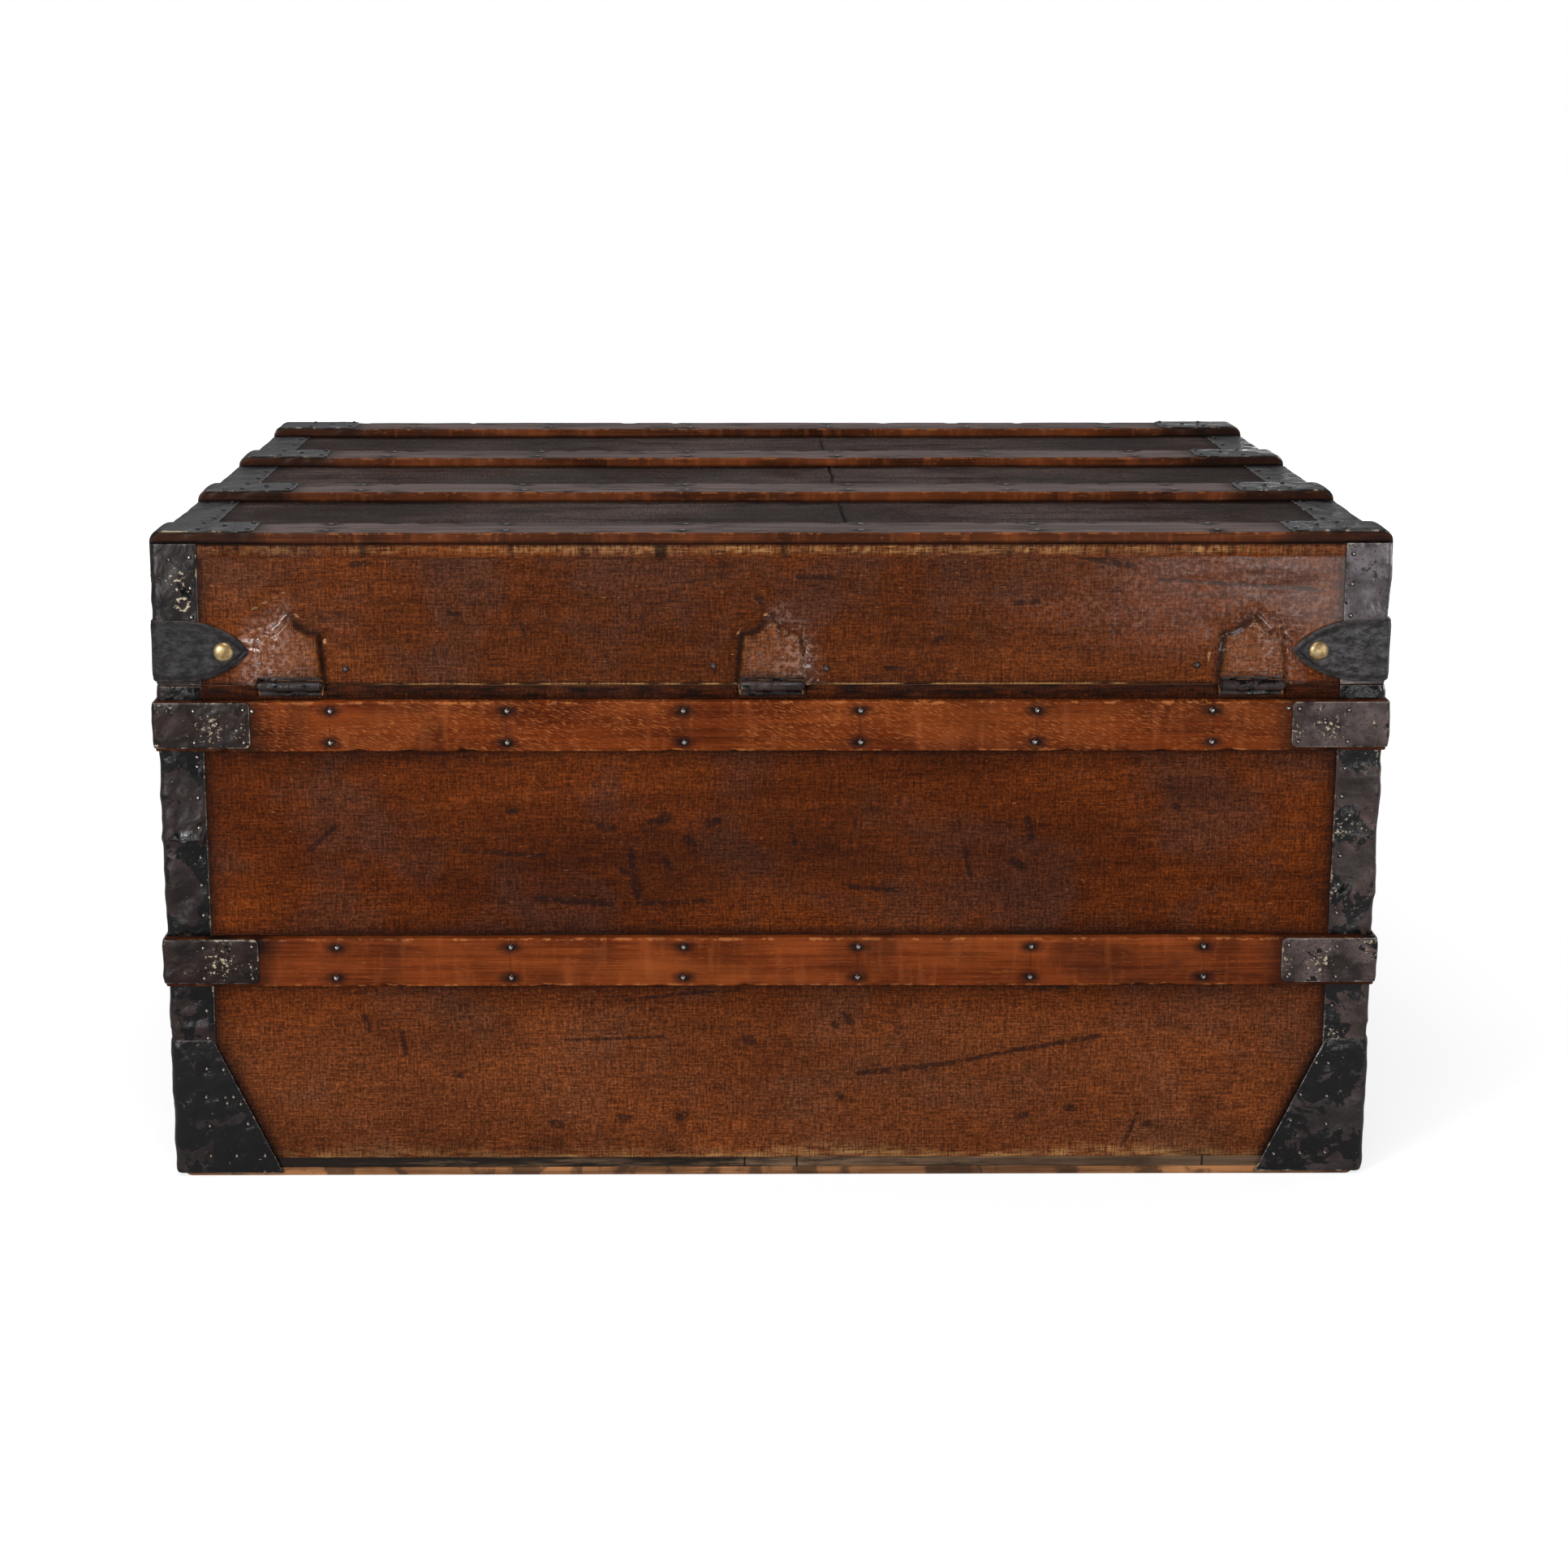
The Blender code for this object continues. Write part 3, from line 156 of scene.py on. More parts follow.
# %% Colours, masks and noise
def rgb(red, green, blue):
    """A colour as it reads on a screen, 0 to 255, turned into the linear light that shaders use."""
    return tuple(((c / 255 + 0.055) / 1.055) ** 2.4 for c in (red, green, blue)) + (1.0,)


def blend(share, first, second, how="MIX"):
    """Mixes two colours. Sockets 0, 6 and 7 of the Mix node are the share and the two colours."""
    return node("ShaderNodeMix", {0: share, 6: first, 7: second}, 2, data_type="RGBA", blend_type=how)


def tinted(colour, mask, low, high):
    """A colour multiplied by another that goes from low to high over a mask."""
    return blend(1.0, colour, blend(mask, (*low, 1.0), (*high, 1.0)), "MULTIPLY")


def ramp(value, low, high):
    """Turns a value into a mask: 0 below low, 1 above high, soft between."""
    links = {"Value": value, "From Min": low, "From Max": high}
    return node("ShaderNodeMapRange", links, interpolation_type="SMOOTHSTEP")


def scaled(value, to_low, to_high, low=0.0, high=1.0):
    """Moves a value from one range to another, in a straight line."""
    links = {"Value": value, "From Min": low, "From Max": high, "To Min": to_low, "To Max": to_high}
    return node("ShaderNodeMapRange", links)


def cloud(at, scale, detail=4.0, rough=0.55, warp=0.0):
    """Cloudy noise. A scale of three numbers draws it out along an axis, for streaks and threads."""
    if isinstance(scale, tuple):
        at, scale = vector("MULTIPLY", at, scale), 1.0
    links = {"Vector": at, "Scale": scale, "Detail": detail, "Roughness": rough, "Distortion": warp}
    return node("ShaderNodeTexNoise", links)


# %% Shader groups
def group(name, inputs, outputs):
    """Opens a new group. An input is given by its number, or by the kind of its socket; so is an output."""
    tree = OPEN["tree"] = bpy.data.node_groups.new(name, "ShaderNodeTree")
    for label, value in inputs.items():
        kind = value if isinstance(value, str) else "Float"
        socket = tree.interface.new_socket(label, in_out="INPUT", socket_type="NodeSocket" + kind)
        if not isinstance(value, str):
            socket.default_value = value
    for label, kind in outputs.items():
        tree.interface.new_socket(label, in_out="OUTPUT", socket_type="NodeSocket" + kind)
    given = {socket.name: Wire(socket) for socket in tree.nodes.new("NodeGroupInput").outputs}
    return tree, given, tree.nodes.new("NodeGroupOutput").inputs


def use(made, **links):
    """Places a group in the open tree and gives its outputs by name."""
    placed = node("ShaderNodeGroup", links, node_tree=made).socket.node
    return {socket.name: Wire(socket) for socket in placed.outputs}


# %% [markdown]
# # Shared effects
# Old varnish, japan and dirt come off and settle in patches, so one group makes a patchy mask for every
# material. A second group makes wood, a third makes woven cloth, a fourth finds where an edge has been
# rubbed, from how near a point lies to the rim of its piece, and a fifth draws a single long mark.

# %% Patches, grain, weave, rubbed edges and strokes
PATCHES, given, wanted = group(
    "patches", {"Where": "Vector", "Size": 20.0, "Cover": 0.5, "Soft": 0.05}, {"Mask": "Float"}
)
broad = ramp(cloud(given["Where"], given["Size"], 6.0, 0.62, 0.4), 0.28, 0.72)
level = 1.0 - given["Cover"]
join(ramp(broad, level - given["Soft"], level + given["Soft"]), wanted["Mask"])

GRAIN, given, wanted = group(
    "wood_grain",
    {"Where": "Vector", "Dark": "Color", "Pale": "Color", "Flecks": 0.5},
    {"Color": "Color", "Height": "Float"},
)
at = given["Where"]
bands = cloud(vector("MULTIPLY", at, (2.2, 42.0, 42.0)), 2.2, 5.0, 0.6, 0.6)
fine = cloud(at, (14.0, 900.0, 900.0), 3.0)
wood = blend(ramp(bands, 0.32, 0.68), given["Dark"], given["Pale"])
wood = tinted(wood, ramp(fine * cloud(at, 16.0, 3.0), 0.10, 0.34), (0.55, 0.5, 0.46), (1.25, 1.22, 1.2))
dashes = ramp(cloud(at, (150.0, 900.0, 300.0), 1.0), 0.64, 0.72) * given["Flecks"]
join(blend(dashes, wood, rgb(214, 140, 84)), wanted["Color"])
join(fine + bands, wanted["Height"])

WEAVE, given, wanted = group(
    "weave", {"Where": "Vector", "Threads": 850.0}, {"Slubs": "Float", "Height": "Float"}
)
at = given["Where"]
wobble = cloud(at, 60.0, 2.0) * 5.0
warp, weft = (calc("SINE", part * given["Threads"] * (2 * math.pi) + wobble) for part in split(at)[:2])
slubs = cloud(at, (62.0, 820.0, 1.0), 3.0, 0.62) + cloud(at, (820.0, 62.0, 1.0), 3.0, 0.62)
join(slubs * 0.5, wanted["Slubs"])
join((warp + weft) * 0.25 + slubs, wanted["Height"])

RUBBED, given, wanted = group(
    "rubbed_edges", {"Where": "Vector", "Edge": 0.0, "Amount": 0.5}, {"Mask": "Float"}
)
broken = cloud(given["Where"], 90.0, 5.0, 0.7)
join(ramp(given["Edge"] * given["Amount"] + broken, 0.92, 1.02), wanted["Mask"])

STROKE, given, wanted = group(
    "stroke", {"Where": "Vector", "From": "Vector", "To": "Vector", "Wide": 0.002}, {"Mask": "Float"}
)
way = vector("SUBTRACT", given["To"], given["From"])
off = vector("SUBTRACT", given["Where"], given["From"])
along = vector("DOT_PRODUCT", off, way, 1) / vector("DOT_PRODUCT", way, way, 1)
along = calc("MINIMUM", calc("MAXIMUM", along, 0.0), 1.0)
nearest = node("ShaderNodeVectorMath", {0: way, "Scale": along}, operation="SCALE")
aside = vector("DISTANCE", off, nearest, 1) * (cloud(given["Where"], 260.0, 3.0) + 0.5)
join(ramp(aside / given["Wide"], 1.0, 0.35), wanted["Mask"])
print("groups:", len(bpy.data.node_groups))


# %% A material with its parts to hand
def material(name, **plain):
    """Opens a new material. Values that are the same all over go on the shader's own sockets."""
    made = bpy.data.materials.new(name)
    made.use_nodes = True
    OPEN["tree"] = made.node_tree
    for label, value in plain.items():
        socket(made, label.replace("_", " ")).default_value = value
    return made


def socket(made, label):
    return made.node_tree.nodes["Principled BSDF"].inputs[label]


def where(own=True):
    """Pieces made here carry flat coordinates as an attribute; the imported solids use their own."""
    if own:
        return node("ShaderNodeAttribute", out="Vector", attribute_name="lay")
    return node("ShaderNodeTexCoord", out="Object")


def painted(label):
    """A value stored on the mesh, such as dirt or the nearness of an edge."""
    return node("ShaderNodeAttribute", out="Fac", attribute_name=label)


def patches(at, size, cover, soft):
    return use(PATCHES, Where=at, Size=size, Cover=cover, Soft=soft)["Mask"]


def rubbed(at, amount):
    return use(RUBBED, Where=at, Edge=painted("edge"), Amount=amount)["Mask"]


def finish(made, colour, rough, height=None, depth=0.0003, strength=0.5):
    """Joins colour, roughness and relief to the shader."""
    join(colour, socket(made, "Base Color"))
    join(rough, socket(made, "Roughness"))
    if height is not None:
        links = {"Height": height, "Distance": depth, "Strength": strength}
        join(node("ShaderNodeBump", links), socket(made, "Normal"))
    return made


# %% [markdown]
# # The canvas
# The boards are covered with linen canvas, glued down, stained red-brown and varnished. Up close it is a
# net of uneven threads. From further away it is mottled: worn pale where things rubbed it and paler towards
# the bottom of the case, grey where the varnish has gone dull, and almost black along slats and irons, from
# dirt and painted shade. The mesh stores that last part as a value named dirt, because it
# depends on what lies near. Over the hinges and at the right end of the lid, a glossier coat goes with a
# pale, pebbly painted highlight. The longest dark marks are drawn one by one, and a mottled mask breaks
# them up.

# %% Where the long marks lie
def mm(*sizes):
    """Millimetres turned into metres."""
    return tuple(size / 1000 for size in sizes)


# The flat sheet of canvas starts at the left end of the back, this far from its middle.
BACK_START = 0.450
CASE_STROKES = [
    (68, 83, 128, 89, 3.5), (128, 89, 186, 101, 2.8), (186, 101, 252, 113, 3), (58, 131, 61, 124, 4.8),
    (48, 123, 50, 122, 4.2), (200, 150.5, 225, 152, 2.8), (-18, 110, -15, 109, 6),
    (-110, 142, -60, 148, 2.2), (-60, 148, -20, 150, 2), (-155, 110, -80, 112.5, 1.8),
    (-308, 130, -305, 118, 3.2), (288, 41, 293, 41, 4.2), (-280, 118, -277, 100, 2.6),
    (228, 55, 231, 54, 4.5), (190, 49, 196, 49, 5), (-166, 42, -160, 41, 4.8), (-116, 47, -108, 46, 4.8),
    (-70, 46, -66, 49, 5), (272, 25, 282, 49, 2.6), (-105, 260, -100, 225, 4.8),
    (-128, 280, -118, 279, 4.2), (-93, 279, -78, 287, 6), (192, 285, 196, 270, 4.4),
    (-230, 261, -170, 257, 2.8), (-175, 223, -120, 219, 3.8), (-100, 219, -45, 221, 3),
    (-345, 262, -326, 280, 3), (-62, 270, -58, 262, 5), (-80, 252, -74, 248, 4.6),
    (-48, 281, -40, 284, 4.2), (-112, 246, -108, 243, 3.6), (-196, 292, -191, 292, 4),
    (182, 252, 190, 248, 5), (146, 262, 150, 241, 2.6), (60, 232, 95, 229, 2.8), (16, 279, 18, 266, 2.6),
    (300, 296, 304, 294, 4.2), (-240, 83, -236, 82, 3.6), (52, 66, 55, 64, 3.8),
]
LID_STROKES = [
    (-307, 480, -296, 481.5, 3.6), (120, 421.5, 128, 424.5, 5.2), (-185, 436, -181, 425, 2),
    (-10, 455, -6, 452, 4.2), (180, 450.5, 196, 452, 3), (-237, 444, -230, 443, 3.5),
    (-150, 487.5, -110, 486, 3), (225, 486, 262, 479, 3.2), (20, 471, 45, 470, 3),
    (-96, 441, -94, 431, 2.2), (285, 468.3, 405, 460.4, 2.2), (85, 402, 96, 401, 3),
]


def scored(at, strokes, level):
    """The strongest of several strokes. Each is (x, height, x, height, width) in mm, on the trunk's back."""
    masks = []
    for x0, z0, x1, z1, broad in (mm(*stroke) for stroke in strokes):
        ends = {"From": (x0 + BACK_START, z0 + level, 0.0), "To": (x1 + BACK_START, z1 + level, 0.0)}
        masks.append(use(STROKE, Where=at, Wide=broad, **ends)["Mask"])
    return most(*masks)


# %% Canvas
def canvas_material(name, dark, pale, haze, strokes=(), level=0.0, gloss=0.05, sheen=0.34, streaks=0.55):
    made = material(name, Specular_IOR_Level=gloss, Coat_Roughness=0.2)
    at, shine = where(), painted("edge")
    join(shine * 0.45, socket(made, "Coat Weight"))
    weave = use(WEAVE, Where=at, Threads=760.0)
    wide = cloud(vector("MULTIPLY", at, (1.0, 1.7, 1.0)), 4.2, 5.0, 0.6)
    colour = blend(ramp(wide, 0.36, 0.66), dark, pale)
    brushed = ramp(cloud(at, (7.0, 110.0, 1.0), 5.0, 0.62), 0.36, 0.66)
    colour = tinted(colour, brushed, (0.80, 0.78, 0.78), (1.12, 1.1, 1.08))
    grey = patches(at, 11.0, haze, 0.3)
    colour = blend(grey * 0.4, colour, rgb(70, 50, 42))
    colour = blend(painted("top"), colour, rgb(126, 76, 46))
    colour = tinted(colour, ramp(weave["Slubs"], 0.38, 0.62), (0.56, 0.52, 0.50), (1.5, 1.5, 1.46))
    speckle = ramp(cloud(at, 430.0, 3.0, 0.6), 0.36, 0.64)
    colour = tinted(colour, speckle, (0.64, 0.62, 0.62), (1.38, 1.38, 1.36))
    pebbles = cloud(at, 250.0, 5.0, 0.6) * (cloud(at, 48.0, 3.0) * 0.5 + 0.75)
    # Painted highlight: pale pebbles where the coat is glossier, over the hinges and at the lid's right end.
    colour = blend(shine * ramp(pebbles, 0.49, 0.61) * 0.46, colour, rgb(156, 118, 102))
    field = ramp(cloud(vector("MULTIPLY", at, (1.0, 1.4, 1.0)), 6.5, 3.0), 0.47, 0.68)
    dashes = ramp(cloud(at, (34.0, 260.0, 1.0), 4.0, 0.6), 0.52, 0.66)
    smudge = ramp(cloud(vector("MULTIPLY", at, (1.0, 1.5, 1.0)), 60.0, 4.0, 0.6), 0.56, 0.68)
    soiled = most(dashes, smudge) * field * streaks
    if streaks > 0.6:
        soiled = most(soiled, ramp(cloud(at, (9.0, 64.0, 1.0), 6.0, 0.68), 0.50, 0.62) * streaks)
    if strokes:
        broken = ramp(cloud(at, 170.0, 5.0, 0.7), 0.34, 0.54) * 0.8
        soiled = most(soiled, scored(at, strokes, level) * broken)
    colour = blend(soiled, colour, rgb(34, 20, 17))
    flecks = ramp(cloud(at, (170.0, 520.0, 1.0), 2.0), 0.69, 0.74)
    colour = blend(flecks * 0.5, colour, rgb(176, 118, 70))
    colour = blend(painted("fray") * ramp(weave["Slubs"], 0.4, 0.56), colour, rgb(178, 134, 84))
    # Dirt and painted shade along slats, irons, the joint and the rolled rim.
    colour = blend(painted("dirt"), colour, rgb(17, 11, 10))
    relief = weave["Height"] + speckle + cloud(at, 290.0, 2.0) * (shine * 5.0)
    return finish(made, colour, scaled(grey, sheen, sheen + 0.2), relief, 0.0005, 0.6)


LID_LAY, TOP_LAY, FLAP_LAY = 3.0, 6.0, 8.0
CANVAS = canvas_material(
    "varnished_case_canvas", rgb(76, 33, 8), rgb(104, 49, 15), 0.3, CASE_STROKES, gloss=0.04
)
LID_CANVAS = canvas_material(
    "varnished_lid_canvas", rgb(78, 37, 12), rgb(102, 52, 21), 0.4, LID_STROKES, LID_LAY, sheen=0.3
)
TOP_CANVAS = canvas_material("dull_top_canvas", rgb(40, 31, 28), rgb(74, 60, 55), 0.3, sheen=0.6, streaks=0.9)

# %% [markdown]
# # Wood
# The slats are a pale hardwood under orange varnish: long grain, short bright flecks, black stains where
# the nails have rusted, and grime and painted shade along the foot of their long sides and by the clamps.
# The slats on top are the same wood, but their upper faces have lost the varnish and gone grey. The boards
# inside are plain softwood.

# %% Slats
NAIL_STEP = 0.1305
NAIL_SPREAD = 0.0121


def nail_stains(at):
    """1 at a nail and 0 away from it: the nails stand in pairs, one step apart along the slat."""
    x, y, z = split(at)
    along = (calc("WRAP", x, NAIL_STEP, 0.0) - NAIL_STEP / 2) * 0.6
    side = abs(y) - NAIL_SPREAD
    gap = calc("SQRT", along ** 2.0 + side ** 2.0) + cloud(at, 240.0) * 0.004
    crack = ramp(abs(along), 0.0003, 0.0001) * 0.5 * ramp(cloud(at, 30.0, 2.0), 0.42, 0.52)
    return most(scaled(gap, 0.92, 0.0, 0.0038, 0.0088), crack)


def ray_flecks(at, cover):
    """Short pale flecks that lean across the grain, as where a saw has cut the rays of beech."""
    x, y, z = split(at)
    slanted = node("ShaderNodeCombineXYZ", {0: x, 1: y + x * 0.32, 2: z})
    field = cloud(vector("MULTIPLY", at, (1.0, 3.0, 1.0)), 9.0, 2.0)
    field = ramp(field, 0.62 - cover, 0.8 - cover) * painted("fray")
    return ramp(cloud(slanted, (190.0, 1200.0, 100.0), 2.0), 0.555, 0.65) * field


def slat_material(name, dark, pale, weathered=0.0, cover=0.3, gloss=0.05):
    made = material(name, Specular_IOR_Level=gloss)
    at = where()
    wood = use(GRAIN, Where=at, Dark=dark, Pale=pale, Flecks=0.1)
    colour = blend(patches(at, 12.0, 0.3, 0.3) * 0.35, wood["Color"], rgb(66, 34, 20))
    warm = patches(vector("MULTIPLY", at, (1.0, 2.0, 1.0)), 7.0, 0.3, 0.3)
    colour = blend(warm * 0.35, colour, rgb(140, 72, 32))
    colour = blend(ray_flecks(at, cover) * 0.55, colour, rgb(176, 104, 54))
    flame = ramp(cloud(at, (120.0, 22.0, 20.0), 3.0), 0.5, 0.7)
    colour = blend(flame * 0.2, colour, rgb(158, 86, 46))
    smears = cloud(at, (26.0 - 8 * weathered, 150.0 - 70 * weathered, 60.0), 4.0, 0.6)
    smears = ramp(smears, 0.62 - 0.05 * weathered, 0.74 - 0.07 * weathered)
    colour = blend(smears * 0.5, colour, rgb(44, 24, 18))
    colour = blend(rubbed(at, 0.42) * (0.45 - 0.2 * weathered), colour, rgb(190, 118, 66))
    rough = scaled(cloud(at, 40.0, 3.0), 0.3, 0.52)
    if weathered:
        dusty = blend(ramp(wood["Height"], 0.8, 1.2), rgb(64, 53, 50), rgb(106, 91, 87))
        dusty = blend(smears * 0.75, dusty, rgb(22, 17, 17))
        colour = blend(painted("top") * weathered, colour, dusty)
        rough = rough + painted("top") * 0.25
    colour = blend(nail_stains(at), colour, rgb(22, 14, 13))
    # Grime and painted shade at the slat's foot and near its ends.
    colour = blend(painted("dirt"), colour, rgb(18, 12, 10))
    return finish(made, colour, rough, wood["Height"])


SLAT = slat_material("varnished_slat", rgb(74, 28, 8), rgb(106, 47, 16))
LOWER_SLAT = slat_material("varnished_lower_slat", rgb(84, 34, 12), rgb(117, 55, 22))
TOP_SLAT = slat_material("weathered_slat", rgb(50, 24, 11), rgb(84, 44, 22), 0.96, cover=0.1, gloss=0.07)


# %% Boards and runners
def board_material(name, dark, pale, soil=0.0):
    made = material(name, Specular_IOR_Level=0.2)
    at = where(False)
    wood = use(GRAIN, Where=at, Dark=dark, Pale=pale, Flecks=0.0)
    colour = blend(patches(at, 26.0, 0.42, 0.12) * soil, wood["Color"], rgb(40, 27, 20))
    return finish(made, colour, scaled(wood["Height"], 0.6, 0.75), wood["Height"])


def edged_board(cracks):
    """The bottom board: bare wood with a black painted edge that has worn back to the wood in places."""
    made = material("painted_bottom_edge", Specular_IOR_Level=0.12)
    at = where(False)
    wood = use(GRAIN, Where=at, Dark=rgb(66, 50, 38), Pale=rgb(112, 90, 70), Flecks=0.0)
    x, y, z = split(at)
    scuffs = cloud(vector("MULTIPLY", at, (1.0, 1.0, 9.0)), 22.0, 6.0, 0.7)
    bare = ramp(scuffs + x * 0.5, 0.36, 0.62) * 0.85
    facing_up = abs(split(node("ShaderNodeTexCoord", out="Normal"))[2])
    share = most(bare, ramp(facing_up, 0.6, 0.8))
    colour = blend(share, rgb(33, 27, 23), wood["Color"])
    cracked = most(*(ramp(abs(x - crack), 0.0011, 0.0004) for crack in cracks))
    colour = blend(cracked * 0.9, colour, rgb(8, 6, 5))
    return finish(made, colour, scaled(share, 0.45, 0.7), scuffs, 0.0004)


BOARD = board_material("bare_board", rgb(122, 84, 52), rgb(162, 120, 80))
RUNNER = board_material("runner_wood", rgb(100, 66, 40), rgb(156, 108, 68), 0.7)
PAINTED_BOARD = edged_board((-0.0191, 0.0210, 0.3331))

# %% [markdown]
# # Iron, brass and leather
# The irons are thin sheet, once coated in black japan. It survives as glossy black islands; around them
# the coat has gone brown and lumpy, and it has chipped to a pale tan near nails and edges. The left end
# stayed darker than the right one, so most irons have a recipe for each end, kept under -1 and 1. The
# nails are steel, bright on the case and duller on top. Brass has a soft patina, and the leather is
# stiff, charcoal and cracked.

# %% Sheet iron
def iron_material(name, japan, chips, brown=rgb(27, 18, 16), light=rgb(56, 42, 40), gloss=0.5, bright_rim=0.2,
                  own=True, size=34.0):
    made = material(name, Metallic=0.1, Specular_IOR_Level=gloss)
    at = where(own)
    tone = cloud(at, 34.0, 5.0, 0.6)
    colour = blend(ramp(tone, 0.34, 0.68), brown, light)
    colour = blend(ramp(cloud(at, 130.0, 4.0), 0.55, 0.75) * 0.5, colour, rgb(46, 27, 19))
    colour = blend(ramp(cloud(at, 520.0, 3.0), 0.56, 0.66) * 0.75, colour, rgb(12, 8, 8))
    # On irons this value marks where the black japan is left.
    black = patches(at, size, painted("dirt") * 0.45 + japan, 0.025)
    colour = blend(black * 0.96, colour, rgb(5, 5, 7))
    crumbs = cloud(at, 300.0, 5.0, 0.7)
    chipped = patches(at, 34.0, chips, 0.07) * ramp(crumbs, 0.55, 0.60)
    if own:
        chipped = most(chipped, rubbed(at, 0.40) * 0.6)
        # Painted highlight: a thin pale line along the rim, broken up by the tone.
        rim = ramp(painted("edge"), 0.90, 0.98) * ramp(tone, 0.42, 0.6)
        colour = blend(rim * bright_rim, colour, rgb(142, 134, 130))
        chipped = most(chipped, ramp(crumbs + painted("fray") * 0.14, 0.66, 0.69))
    colour = blend(chipped, colour, rgb(180, 166, 140))
    rough = scaled(black, 0.38, 0.24) + chipped * 0.25
    height = cloud(at, 60.0, 2.0, 0.5, 0.4) + cloud(at, 420.0, 3.0) * 0.09 - chipped * 0.2
    return finish(made, colour, rough, height, 0.0022, 1.0)


IRONS = {
    -1: iron_material("dark_japanned_iron", 0.36, 0.1, rgb(26, 17, 16), rgb(52, 38, 36), 0.36),
    1: iron_material("worn_japanned_iron", 0.25, 0.16, rgb(40, 29, 26), rgb(80, 63, 58)),
}
CLAMP_IRONS = {
    -1: iron_material("speckled_clamp_iron", 0.16, 0.14, rgb(19, 11, 9), rgb(47, 31, 27), 0.3, 0.5),
    1: iron_material("pale_clamp_iron", 0.17, 0.2, rgb(34, 25, 24), rgb(92, 78, 75), 0.34, 0.5),
}
CORNER_IRONS = {
    -1: iron_material("black_foot_iron", 0.74, 0.05, rgb(30, 22, 22), rgb(54, 44, 44)),
    1: iron_material("brown_foot_iron", 0.62, 0.06, rgb(34, 27, 26), rgb(66, 54, 53)),
}
LID_IRONS = {
    -1: iron_material("dented_lid_iron", 0.2, 0.1, rgb(17, 11, 11), rgb(38, 28, 27), 0.4),
    1: iron_material("grey_lid_iron", 0.09, 0.1, rgb(44, 37, 38), rgb(104, 96, 99)),
}
LID_TOP_IRON = iron_material("dull_top_iron", 0.2, 0.06, rgb(16, 16, 17), rgb(38, 39, 42), 0.12)
FIXED_IRON = iron_material("japanned_hinges", 0.3, 0.04, own=False, size=90.0)


# %% Nails, brass and leather
def nail_material(name, dark, pale, crown, metal):
    """Nail heads: dark round the side, with a painted highlight on the crown, which faces straight along an
    axis.
    """
    made = material(name, Metallic=metal, Specular_IOR_Level=0.4)
    tone = ramp(cloud(where(False), 700.0, 2.0), 0.35, 0.65)
    facing = most(*(abs(part) for part in split(node("ShaderNodeTexCoord", out="Normal"))))
    colour = blend(ramp(facing, 0.93, 0.99), blend(tone, dark, pale), crown)
    return finish(made, colour, scaled(tone, 0.26, 0.38))


def brass_material(name):
    made = material(name, Metallic=0.75, Specular_IOR_Level=0.4)
    at = where(False)
    tone = ramp(cloud(at, 160.0, 5.0, 0.6), 0.35, 0.65)
    tarnish = patches(at, 60.0, 0.35, 0.3)
    colour = blend(tone, rgb(160, 128, 80), rgb(222, 200, 154))
    colour = blend(tarnish * 0.55, colour, rgb(96, 70, 40))
    return finish(made, colour, scaled(tarnish, 0.34, 0.55), tone, 0.0001, 0.4)


def leather_material(name, dark, pale, own=True):
    made = material(name, Specular_IOR_Level=0.24)
    at = where(own)
    brushed = cloud(at, (110.0, 190.0, 190.0), 8.0, 0.8)
    colour = blend(ramp(brushed, 0.40, 0.62), dark, pale)
    colour = blend(patches(at, 60.0, 0.3, 0.2) * 0.6, colour, rgb(22, 17, 15))
    if own:
        colour = blend(rubbed(at, 0.45) * 0.5, colour, rgb(80, 64, 54))
        # On leather it marks the pressed line.
        colour = blend(painted("dirt"), colour, rgb(15, 9, 7))
    pores = node("ShaderNodeTexVoronoi", {"Vector": at, "Scale": 900.0})
    return finish(made, colour, scaled(brushed, 0.4, 0.62), brushed + pores, 0.0002, 0.35)


STEEL = nail_material("nail_steel", rgb(42, 36, 35), rgb(96, 86, 83), rgb(205, 196, 190), 0.9)
BROWN_STEEL = nail_material("browned_nails", rgb(26, 18, 17), rgb(60, 48, 45), rgb(86, 76, 72), 0.3)
DULL_STEEL = nail_material("dull_top_nails", rgb(12, 10, 10), rgb(26, 22, 22), rgb(34, 30, 30), 0.1)
BRASS = brass_material("lock_brass")
STUD_BRASS = brass_material("stud_brass")
LEATHERS = {
    -1: leather_material("black_leather", rgb(11, 9, 10), rgb(56, 54, 54)),
    1: leather_material("grey_leather", rgb(26, 24, 24), rgb(80, 78, 78)),
}
GRIP_LEATHER = leather_material("handle_leather", rgb(50, 30, 20), rgb(92, 60, 40), False)
print("materials:", len(bpy.data.materials))

# %% [markdown]
# # Sheets with thickness
# Canvas, sheet iron and leather are all thin sheets that follow a line and turn a corner. Each is made as
# a grid of points on its outer face. Every point also keeps its outward direction, its place on the flat
# sheet, so that weave and grain run the right way, and a few values for the material, such as dirt with
# painted shade. The rim of the grid is then turned inward by the thickness, because nobody sees the face
# that is nailed down.

# %% Turn a grid into a mesh
LABELS = ("edge", "dirt", "fray", "top")


